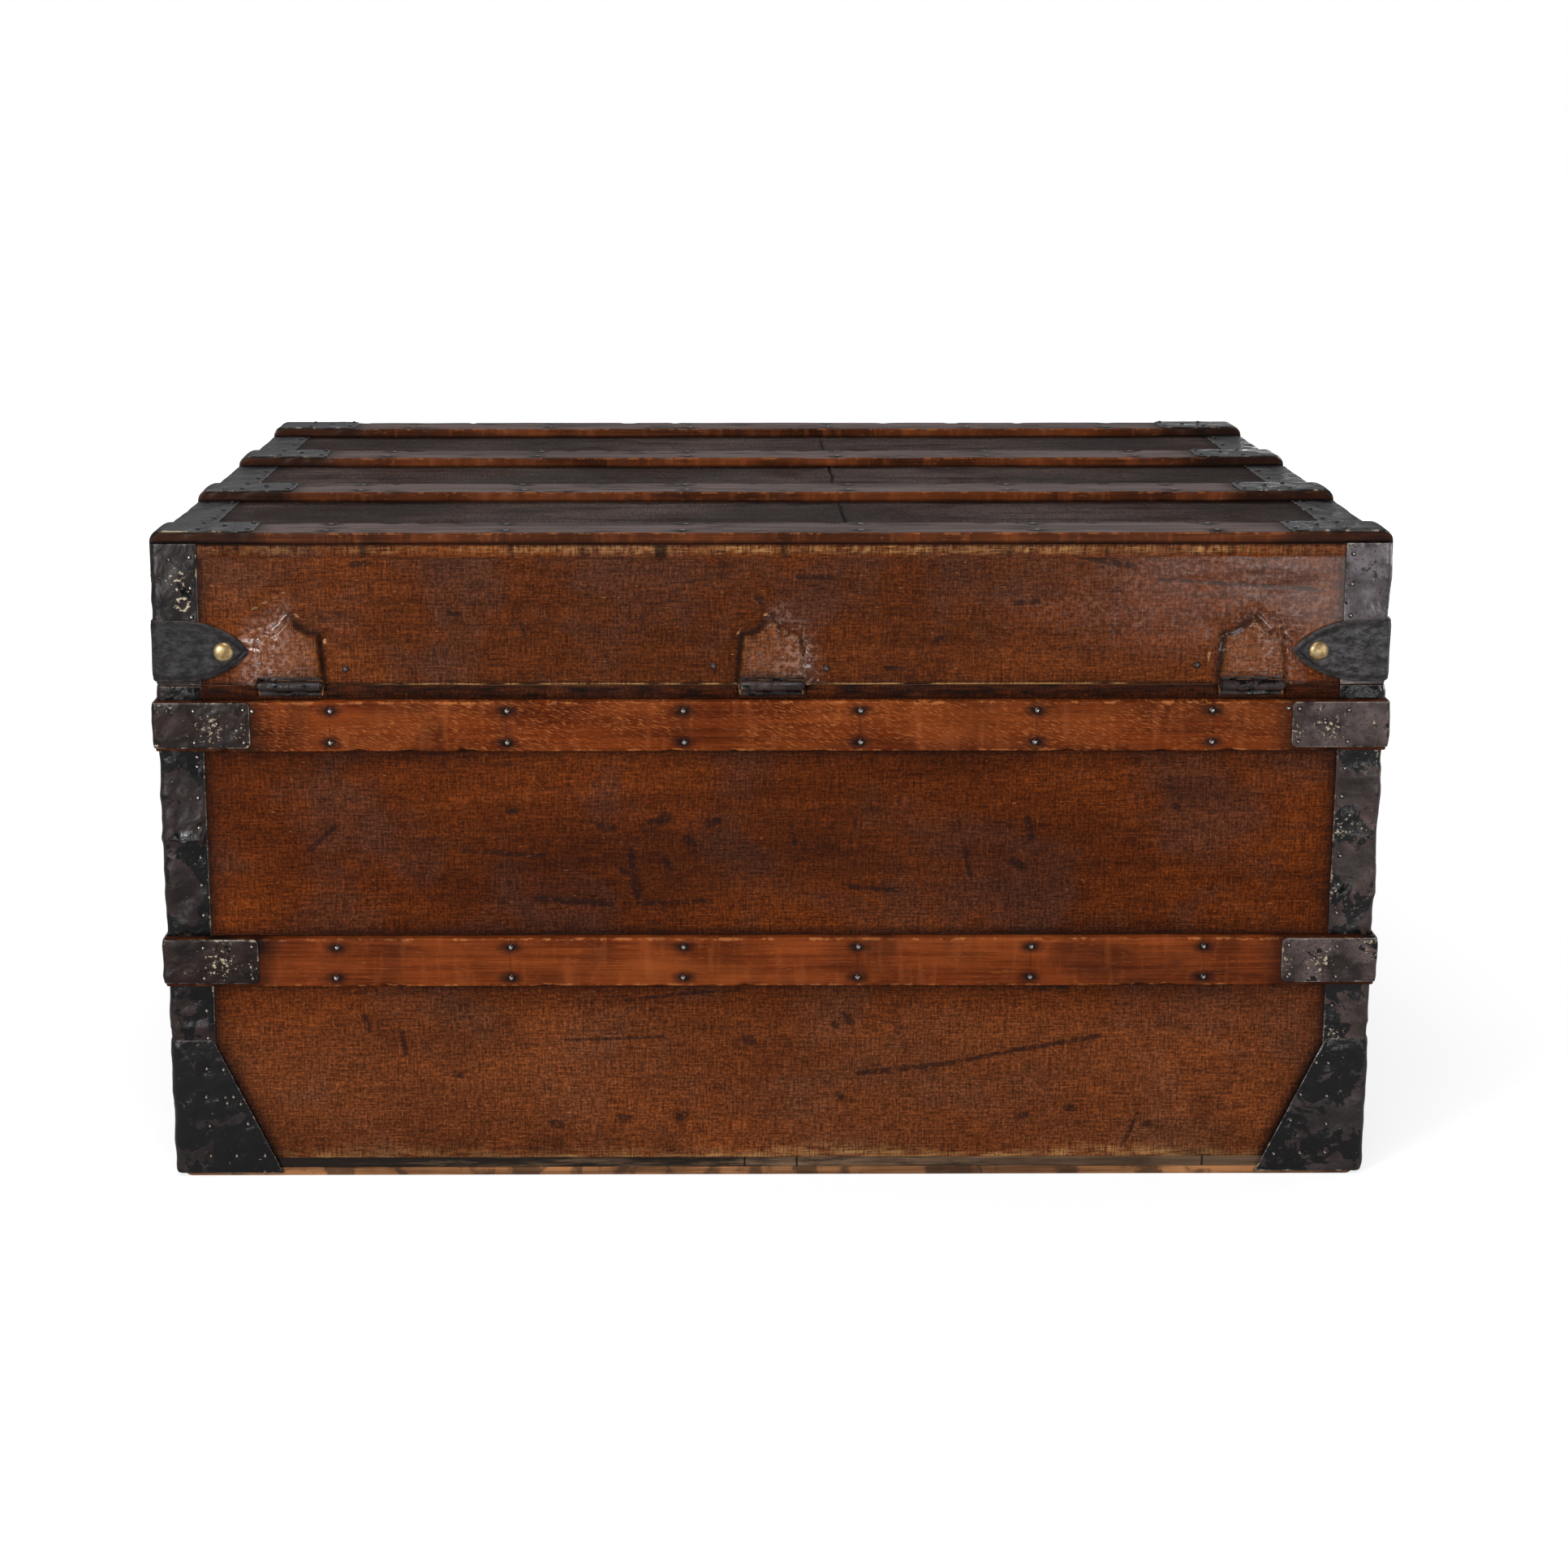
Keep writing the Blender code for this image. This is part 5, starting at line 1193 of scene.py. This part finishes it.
def back_marks():
    """Stations along the back, close together by the hinges."""
    marks = set(round(m, 5) for m in spaced(-OUT_X + BOX_BEND, OUT_X - BOX_BEND, 0.005))
    for middle in HINGE_XS:
        marks = {m for m in marks if abs(m - middle) > HINGE_REACH}
        marks |= {round(middle + m, 5) for m in spaced(-HINGE_REACH, HINGE_REACH, 0.0010)}
        for gap in (-0.0006, 0.0004, 0.0012):
            marks |= {round(middle + side * (BARREL_HALF + gap), 5) for side in (-1, 1)}
    return sorted(marks)


def box_line(step=0.006):
    """Stations round the trunk's four walls with rounded corners, from the back left."""
    points = []
    for outward, way in (((0, -1), (1, 0)), ((1, 0), (0, 1)), ((0, 1), (-1, 0)), ((-1, 0), (0, -1))):
        outward, way = Vector(outward), Vector(way)
        reach = abs(way.x) * OUT_X + abs(way.y) * OUT_Y - BOX_BEND
        off = abs(outward.x) * OUT_X + abs(outward.y) * OUT_Y
        marks = spaced(-reach, reach, step) if points else back_marks()
        points += [(outward * off + way * mark, outward) for mark in marks]
        hub = outward * (off - BOX_BEND) + way * reach
        for k in range(1, 6):
            leaning = outward * math.cos(k * math.pi / 12) + way * math.sin(k * math.pi / 12)
            points.append((hub + leaning * BOX_BEND, leaning))
    line, gone = [], 0.0
    for k, (point, outward) in enumerate(points):
        gone += (point - points[k - 1][0]).length if k else 0.0
        line.append((point, outward, gone))
    return line


def room_for_barrel(x):
    """1 where a hinge barrel needs room in the canvas, 0 elsewhere."""
    gap = min(abs(x - middle) for middle in HINGE_XS)
    return 1 - soft(gap, BARREL_HALF - 0.0008, BARREL_HALF + 0.0012)


def from_irons(flat, outward):
    """How far a point of a wall lies from the irons on its upright edges."""
    return IRONS_X - abs(flat.x) if abs(outward.y) > 0.9 else IRONS_Y - abs(flat.y)


# %% The canvas of the lid's sides
def by_hinges(x, z, values):
    """Round the three hinges: worn paler on the leaf, rubbed threads on its outline, darker round each
    barrel, a painted shadow away from the light, and gloss with a painted highlight toward it.
    """
    fray = shine = paler = 0.0
    dirt = values["dirt"]
    for middle, lit_side in zip(HINGE_XS, (-1, 1, 1)):
        close = math.hypot(max(0.0, abs(x - middle) - 0.020), max(0.0, z - HINGE_Z - 0.004))
        gap = roof_distance(x - middle, z - HINGE_Z)
        toward_light = soft(lit_side * (x - middle), -0.010, 0.012)
        fray = max(fray, 0.2 * bell(gap / 0.0016) * (0.6 + ripple(x * 130, z * 130, 9.0)))
        # Gloss with a painted highlight on the side toward the light and on the leaf, strongest at the left
        # hinge.
        highlight_strength = 1.5 if middle < -0.1 else 1.1
        lit = highlight_strength * toward_light * (1 - soft(gap, 0.004, 0.022))
        shine = max(shine, lit, 0.5 * (1 - soft(gap, -0.004, 0.0)))
        paler = max(paler, 0.36 * (1 - soft(gap, -0.004, 0.001)))
        # Painted shadow beside the leaf on the side away from the light, and darker round each barrel.
        shaded = bell((gap - 0.0035) / 0.0030) * soft(gap, -0.0008, 0.0008)
        dirt = max(dirt, 0.8 * bell(close / 0.006), (0.82 - 0.6 * toward_light) * shaded)
    values.update(dirt=dirt, fray=fray, edge=max(values["edge"], shine), top=paler)


grid = []
for flat, outward, gone in box_line():
    x, back = flat.x, outward.y < -0.9
    low = LID_LOW
    if back:
        low += (0.0062 + 0.0004 * ripple(x * 500, 0.0, 2.0)) * room_for_barrel(x)
    heights = [0.0, 0.0006] + spaced(0.0014, 0.058, 0.0010)
    heights = [low + (LID_LOW + 0.058 - low) * up / 0.058 for up in heights]
    heights += spaced(LID_LOW + 0.062, TOP_Z - 0.003, 0.004) + [TOP_Z - 0.0012, TOP_Z - 0.0004, TOP_Z]
    cells = []
    for z in heights:
        rise = 0.0004 * ripple(gone * 14, z * 14, 7.0)
        under_flap = soft(z, TOP_Z - 0.012, TOP_Z - 0.001)
        over_joint = 1 - soft(z, LID_LOW, LID_LOW + 0.004)
        by_iron = fade(from_irons(flat, outward), 0.006)
        # Darker by the irons, from dirt and painted shade, with painted shade under the flap and along the
        # joint.
        values = {"dirt": max(0.85 * by_iron, 0.7 * under_flap, 0.8 * over_joint)}
        if back:
            rise += tented(x, z)
            # Glossier toward the right end of the lid's back, where the material adds a painted highlight;
            # the value named edge carries it here.
            drifted = x + 0.06 * ripple(x * 14, z * 30, 21.0)
            values["edge"] = 0.75 * soft(drifted, 0.10, 0.40) * soft(z, 0.395, 0.44)
            by_hinges(x, z, values)
            if z < low + 0.001 and low == LID_LOW:
                raw = 0.95 * soft(x, -0.30, -0.27) * (1 - soft(x, 0.25, 0.29))
                raw *= soft(ripple(x * 42, 0.0, 3.0), -0.22, -0.02)
                values.update(fray=max(values["fray"], raw), dirt=values["dirt"] * (1 - raw))
        values["dirt"] = min(1.0, values["dirt"])
        turn_in = max(0.0, z - (TOP_Z - 0.0015))
        point = upright(flat - outward * turn_in * 0.8, z) + upright(outward, 0.0) * rise
        cells.append((point, upright(outward, 0.0), Vector((gone, z + LID_LAY, 0.0)), values))
    grid.append(cells)
mesh = skin("lid_canvas_sides", grid, 0.0006, ring=True)
hang("lid_canvas_sides", mesh, LID_CANVAS, "lid", "canvas", "lid_canvas")
print("lid canvas columns:", len(grid), "rows:", len(grid[0]))

# %% The canvas of the lid's top
CRACK_X = 0.058
CRACK_MARKS = [CRACK_X + gap for gap in (-0.005, -0.0025, -0.0012, 0.0, 0.0012, 0.0025, 0.005)]
grid = []
left_of_crack = spaced(-OUT_X + 0.001, CRACK_X - 0.008, 0.007)
right_of_crack = spaced(CRACK_X + 0.008, OUT_X - 0.001, 0.007)
for x in left_of_crack + CRACK_MARKS + right_of_crack:
    by_crack = abs(x - CRACK_X) < 0.009
    cells = []
    for y in spaced(-OUT_Y + 0.001, OUT_Y - 0.001, 0.006):
        drift = 0.0022 * ripple(0.0, y * 30, 3.0) + 0.0008 * ripple(0.0, y * 160, 5.0)
        torn = 0.35 + 0.65 * soft(ripple(2.0, y * 16), -0.35, 0.15)
        z = TOP_Z + 0.0001 + 0.00035 * ripple(x * 11, y * 11, 2.0)
        if by_crack:
            lips = 0.0007 * bell((abs(x - CRACK_X) - 0.0025) / 0.0016)
            groove = 0.0012 * bell((x - CRACK_X) / 0.0008)
            z += lips * torn - groove * torn
        # Darker by the slats and the end irons, from dirt and painted shade, and darker along the crack.
        by_slats = fade(min(abs(y - slat_y) - 0.019 for slat_y in TOP_SLAT_YS), 0.005)
        dirt = max(0.8 * by_slats, 0.8 * fade(0.4205 - abs(x), 0.005), torn * bell((x - CRACK_X) / 0.0013))
        point = Vector((x + drift * by_crack, y, z))
        cells.append((point, UP, Vector((x, y + TOP_LAY, 0.0)), {"dirt": min(1.0, dirt)}))
    grid.append(cells)
hang("lid_canvas_top", skin("lid_canvas_top", grid, 0.0005), TOP_CANVAS, "lid", "canvas", "lid_canvas")

# %% Its flap, turned down over the back
FLAP_DROP = 0.0102
grid = []
for x in spaced(-0.4205, 0.4205, 0.0016):
    low = TOP_Z - FLAP_DROP + 0.0011 * ripple(x * 60, 0.0, 1.0) + 0.0007 * ripple(x * 420, 0.0, 4.0)
    tan = soft(x + 0.05 * ripple(x * 14, 0.0, 8.0), -0.24, -0.16) * (1 - soft(x, 0.34, 0.38))
    pale = (0.22 + 0.30 * tan) * (0.6 + 0.9 * soft(ripple(x * 26, 0.0, 31.0), -0.3, 0.35))
    stained = 0.8 * soft(ripple(x * 55, 0.0, 13.0), 0.30, 0.48)
    cells = []
    for share in (0.0, 0.04, 0.1, 0.2, 0.35, 0.55, 0.8, 1.0):
        z = low + (TOP_Z - 0.0006 - low) * share
        lift = 0.0006 + 0.0003 * ripple(x * 70, z * 200, 3.0) * (1 - share)
        high_up = soft(share, 0.15, 0.45) * (1 - soft(share, 0.85, 1.0))
        fray = pale * high_up * (0.6 + 1.5 * ripple(x * 190, z * 420, 8.0))
        # Random stains, and painted shade along the top of the flap.
        values = {"fray": max(0.0, fray), "dirt": max(stained, 0.75 * soft(share, 0.8, 1.0))}
        cells.append((Vector((x, -OUT_Y - lift, z)), BACKWARD, Vector((x, z + FLAP_LAY, 0.0)), values))
    grid.append(cells)
hang("top_canvas_flap", skin("top_canvas_flap", grid, 0.0006), LID_CANVAS, "lid", "canvas", "lid_canvas")

# %% The canvas of the case
ROLL_Z, ROLL_RISE = 0.379, 0.0011
RIM_SHARES = (0.0, 0.15, 0.3, 0.45, 0.6, 0.75, 0.88, 0.96, 1.0)
grid = []
for flat, outward, gone in box_line():
    broad = abs(outward.y) > 0.9
    high = RIM_Z - 0.0078 * (room_for_barrel(flat.x) if outward.y < -0.9 else 0.0)
    heights = spaced(CASE_LOW.z, 0.024, 0.0016) + spaced(0.029, 0.374, 0.006)
    heights += [0.3775 + (high - 0.3775) * share for share in RIM_SHARES]
    cells = []
    for z in heights:
        rise = 0.0004 * ripple(gone * 11, z * 11, 5.0)
        if z > ROLL_Z and high == RIM_Z:
            rise += ROLL_RISE * math.sin(math.pi * min(1.0, (z - ROLL_Z) / (RIM_Z - ROLL_Z))) ** 0.7
        iron = from_irons(flat, outward)
        if z < 0.112:
            edge = OUT_X - abs(flat.x) if broad else OUT_Y - abs(flat.y)
            iron = min(iron, edge - FOOT_TOE + (z - 0.004) * (FOOT_TOE - FOOT_LEG) / 0.108)
        smudge = ripple(gone * 7, z * 22, 11.0) + 0.5 * ripple(gone * 30, z * 60, 12.0)
        # Darker by the irons and along the slats, from dirt and painted shade; the smudges and the darker
        # middle of the back are dirt.
        dirt = max(0.9 * fade(iron, 0.007), 0.35 * soft(smudge, 0.25, 0.75))
        if broad:
            dirt = max(dirt, 0.9 * math.exp(-min(abs(z - edge) for edge in SLAT_EDGES) / 0.0055))
        if broad and 0.19 < z < 0.34:
            dirt = max(dirt, 0.46 * bell((abs(flat.x) - 0.02) / 0.22) * bell((z - 0.255) / 0.05))
        # The rolled rim under the lid is dark: stain and painted shade.
        if z > ROLL_Z + 0.0005:
            dirt = max(dirt, 0.72 + 0.5 * ripple(gone * 60, z * 400, 1.0))
        band = 0.45 + 0.4 * soft(flat.x + 0.1 * ripple(gone * 12, 0.0, 15.0), -0.2, 0.0)
        band *= 1 - soft(z, 0.0155, 0.025 + 0.008 * ripple(gone * 9, 0.0, 4.0))
        fray = band * (0.5 + 1.1 * ripple(gone * 60, z * 300, 6.0))
        # Paler towards the bottom of the case.
        paler = 0.34 * (1 - soft(z, 0.10, 0.17)) * (0.8 + 0.6 * ripple(gone * 6, z * 12, 14.0))
        values = {"dirt": min(1.0, max(0.0, dirt)), "fray": max(0.0, fray), "top": max(0.0, paler)}
        way = upright(outward, 0.0)
        cells.append((upright(flat, z) + way * rise, way, Vector((gone, z, 0.0)), values))
    grid.append(cells)
mesh = skin("case_canvas_skin", grid, 0.0006, ring=True)
hang("case_canvas_skin", mesh, CANVAS, "case", "canvas", "case_canvas")
print("case canvas columns:", len(grid), "rows:", len(grid[0]))

# %% [markdown]
# # Leather guards
# A stiff leather strap folds round each back corner of the lid and ends in a tongue on either side, held
# by a brass stud. A maker presses a line just inside the edge. Here that line is a groove in the mesh,
# placed by the distance to the outline, and the edge itself is shaved thinner.

# %% The guard's outline and relief
GUARD_REACH, GUARD_HALF, GUARD_PROUD = 0.073, 0.0233, 0.0038
GUARD_Z = sum(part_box("leather_guard_left"), Vector()).z / 2


def tongue(reach):
    """Half the height of the guard: straight by the corner, then a pointed arch."""
    from_tip = min(1.0, max(0.0, (GUARD_REACH - reach) / 0.050))
    return GUARD_HALF * max(0.02, (1.0 - (1.0 - from_tip) ** 2) ** 0.8)


def arch(flat, gone, length):
    half = tongue(max(OUT_X + GUARD_PROUD - abs(flat.x), OUT_Y + GUARD_PROUD + flat.y))
    return GUARD_Z - half, GUARD_Z + half


GUARD_EDGE = [(reach, tongue(reach)) for reach in spaced(0.0, GUARD_REACH - 0.0001, 0.0012)]


def from_edge(point):
    """How far a point of a guard lies inside its outline."""
    reach = max(OUT_X + GUARD_PROUD - abs(point.x), OUT_Y + GUARD_PROUD + point.y)
    up = abs(point.z - GUARD_Z)
    return min(math.hypot(reach - a, up - b) for a, b in GUARD_EDGE) if reach > 0.004 else GUARD_HALF - up


def pressed(point, rim):
    """The relief of a guard: a shaved edge and a pressed line."""
    gap = from_edge(point)
    return -0.0009 * (1 - soft(gap, 0.0, 0.0018)) - 0.0006 * bell((gap - 0.0033) / 0.0008)


def line_dirt(point):
    gap = from_edge(point)
    return {"dirt": 0.95 * bell((gap - 0.0034) / 0.0015), "edge": 1.25 * (1 - soft(gap, 0.0, 0.0020))}


# %% Low domes, for studs and nails
DOME = ((1.0, -0.3), (1.0, 0.12), (0.86, 0.5), (0.6, 0.82), (0.3, 0.97))


def dome(shape, at, outward, radius, height, around):
    """Adds a low dome with a foot that is sunk a little."""
    turn = outward.to_track_quat("Z", "Y").to_matrix().to_4x4()
    turn.translation = at
    angles = [2 * math.pi * k / around for k in range(around)]
    rings = []
    for share, up in DOME:
        wide = share * radius
        ring = [Vector((wide * math.cos(a), wide * math.sin(a), up * height)) for a in angles]
        rings.append([shape.verts.new(turn @ point) for point in ring])
    crown = shape.verts.new(turn @ Vector((0.0, 0.0, height)))
    for below, above in zip(rings, rings[1:]):
        for k in range(around):
            j = (k + 1) % around
            shape.faces.new((below[k], below[j], above[j], above[k]))
    for k in range(around):
        shape.faces.new((rings[-1][k], rings[-1][(k + 1) % around], crown))


def domes(name, spots, finish_used, body, slot, around=12, *stands_for):
    shape = bmesh.new()
    for spot in spots:
        dome(shape, *spot, around)
    mesh = bpy.data.meshes.new(name)
    shape.to_mesh(mesh)
    shape.free()
    mesh.shade_smooth()
    hang(name, mesh, finish_used, body, slot, *stands_for)


# %% Guards and studs
STUD_IN, STUD_RADIUS, STUD_HEIGHT = 0.0545, 0.0073, 0.0029
for end, solid in ((-1, "leather_guard_left"), (1, "leather_guard_right")):
    x_out, y_out = end * (OUT_X + GUARD_PROUD), -OUT_Y - GUARD_PROUD
    corners = [(x_out, y_out + GUARD_REACH), (x_out, y_out), (x_out - end * GUARD_REACH, y_out)]
    line = turned_line(corners, 0.0086, 0.0013, -end)
    mesh = sheet(solid + "_hide", line, arch, 0.0022, lumps=0.0002, rows=40, seed=50 + end, shape=pressed,
                 paint=line_dirt)
    hang(solid + "_hide", mesh, LEATHERS[end], "lid", "leather", solid)
    places = (
        (Vector((x_out - end * STUD_IN, y_out + 0.0001, GUARD_Z)), BACKWARD),
        (Vector((x_out - end * 0.0001, y_out + STUD_IN, GUARD_Z)), Vector((end, 0, 0))),
    )
    studs = [(at, way, STUD_RADIUS, STUD_HEIGHT) for at, way in places]
    domes(solid + "_studs", studs, STUD_BRASS, "lid", "brass", 32, solid)

# %% [markdown]
# # Nails
# Hundreds of nails hold the trunk together. They are small domes of several sizes, the largest on the
# slats and the canvas, and they have three finishes: bright steel, brown on the canvas, and dull on the
# top. The nails of one body that share a finish go into one mesh, so they stay cheap and move together.

# %% The last nails, on the canvas and the plates
for x, z in ((-0.3144, 0.4013), (-0.0428, 0.4032), (0.0406, 0.4013), (0.3145, 0.4037)):
    nail("lid_canvas", Vector((x, -OUT_Y - 0.0003, z)), BACKWARD, 0.0026, 0.0014)
for middle in HINGE_XS:
    for u in (-0.0115, 0.0115):
        nail("lid_canvas", Vector((middle + u, -OUT_Y - 0.0020, HINGE_Z + 0.0135)), BACKWARD, 0.0017, 0.0005)
for x, z in ((-0.383, 0.3713), (0.3815, 0.373)):
    nail("case", Vector((x, SLATS["upper"][0][0].y, z)), BACKWARD, 0.0019, 0.0009)
for end in (-1, 1):
    for y in (-0.087, -0.062, -0.030, 0.030, 0.062, 0.087):
        for up in ((-0.008, 0.008) if abs(y) < 0.08 else (0.0,)):
            nail("case", Vector((end * (OUT_X + 0.0018), y, 0.268 + up)), Vector((end, 0, 0)), 0.0021, 0.0011)
lock_low, lock_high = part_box("lock_body")
for x in (-0.029, 0.029):
    for z in (lock_low.z + 0.005, lock_high.z - 0.005):
        nail("case", Vector((x, lock_high.y, z)), FRONTWARD, 0.0022, 0.0010)
plate_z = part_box("hasp_plate")[0].z
for x, up in ((-0.0135, 0.014), (0.0135, 0.014), (0.0, 0.025)):
    nail("lid", Vector((x, OUT_Y + 0.0018, plate_z + up + 0.004)), FRONTWARD, 0.0022, 0.0010)

domes("case_nails", NAILS["case"], STEEL, "case", "iron")
domes("lid_nails", NAILS["lid"], STEEL, "lid", "iron")
domes("lid_top_nails", NAILS["lid_top"], DULL_STEEL, "lid", "iron")
domes("lid_canvas_nails", NAILS["lid_canvas"], BROWN_STEEL, "lid", "iron")
print("nails:", {body: len(spots) for body, spots in NAILS.items()})

# %% [markdown]
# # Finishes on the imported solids
# The boards, the runners, the hinges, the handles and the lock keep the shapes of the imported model. They
# only need a better finish, which goes into their material slots.

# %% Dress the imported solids
DRESS = {
    "board": BOARD,
    "slat": RUNNER,
    "canvas": CANVAS,
    "iron": FIXED_IRON,
    "brass": BRASS,
    "leather": GRIP_LEATHER,
    "grip": GRIP_LEATHER,
}
for subpart in frame["record"]["subparts"]:
    solid = subpart["node"]
    slots = frame["nodes"][solid].data.materials
    slots.clear()
    slots.append(PAINTED_BOARD if solid == "bottom_board" else DRESS[subpart["material_slot"]])

# %% [markdown]
# # The studio
# The trunk stood in a plain white room. A pale floor keeps its shadow, and to the camera the room is
# white. Mirror-like rays meet a dimmer room, darker behind the trunk's back, or else a pale veil would
# lie over the dark irons and the varnish. Soft lamps light the back and the top at a plain level, at
# which a colour renders about as it is written, and two more reach the front and the right end.

# %% Room and floor
def grey(red, blue=None):
    return (red, red, red if blue is None else blue, 1.0)


world = bpy.data.worlds.new("white_room")
SCENE.world = world
world.use_nodes = True
OPEN["tree"] = world.node_tree


def ray(kind):
    return node("ShaderNodeLightPath", out=kind)


seen = most(ray("Is Camera Ray"), ray("Is Transmission Ray"))
backdrop = ramp(split(node("ShaderNodeTexCoord", out="Generated"))[1], 0.0, 0.9)
mirrored = blend(backdrop, grey(0.05, 0.055), grey(0.30, 0.31))
glow = blend(seen, blend(ray("Is Glossy Ray"), grey(0.40, 0.42), mirrored), grey(1.0))
join(glow, world.node_tree.nodes["Background"].inputs["Color"])

FLOOR_HALF = 12.0
floor_mesh = bpy.data.meshes.new("floor")
floor_corners = [(x * FLOOR_HALF, y * FLOOR_HALF, 0) for x, y in ((-1, -1), (1, -1), (1, 1), (-1, 1))]
floor_mesh.from_pydata(floor_corners, [], [(0, 1, 2, 3)])
floor = bpy.data.objects.new("floor", floor_mesh)
SCENE.collection.objects.link(floor)
pale_floor = material(
    "pale_floor", Base_Color=grey(0.34), Roughness=0.9, Specular_IOR_Level=0.0, Emission_Strength=1.0
)
lit = most(ray("Is Camera Ray"), ray("Is Transmission Ray"), ray("Is Glossy Ray") * 0.06)
away = node("ShaderNodeVectorMath", {0: where(False)}, 1, operation="LENGTH")
white = blend(ramp(away, 0.8, 2.6), grey(0.74), grey(1.0))
join(blend(lit, grey(0.0), white), socket(pale_floor, "Emission Color"))
floor_mesh.materials.append(pale_floor)


# %% Lamps
def lamp(name, at, toward, size, power):
    light = bpy.data.lights.new(name, "AREA")
    light.shape = "RECTANGLE"
    light.size, light.size_y = size
    light.energy = power
    holder = bpy.data.objects.new(name, light)
    SCENE.collection.objects.link(holder)
    holder.location = at
    holder.rotation_euler = (Vector(toward) - Vector(at)).to_track_quat("-Z", "Y").to_euler()


lamp("key_softbox", (-1.75, -2.2, 1.0), (0.0, -0.1, 0.3), (0.55, 0.8), 43.0)
lamp("fill_softbox", (1.95, -2.0, 0.75), (0.0, -0.1, 0.3), (0.3, 0.7), 18.0)
lamp("low_left_strip", (-1.15, -2.1, 0.14), (-0.3, -0.27, 0.4), (0.3, 0.12), 2.6)
lamp("low_right_strip", (0.85, -2.12, 0.11), (0.35, -0.27, 0.4), (0.3, 0.12), 1.8)
lamp("top_softbox", (-0.3, -1.2, 2.5), (0.0, 0.0, 0.4), (1.0, 0.5), 20.0)
lamp("far_softbox", (0.0, 2.2, 2.2), (0.0, 0.2, 0.3), (2.4, 1.0), 20.0)
lamp("front_softbox", (0.5, 2.7, 0.40), (0.0, 0.28, 0.30), (1.4, 0.45), 15.0)
lamp("side_softbox", (2.6, 0.5, 0.42), (0.46, 0.0, 0.30), (0.8, 0.5), 11.0)
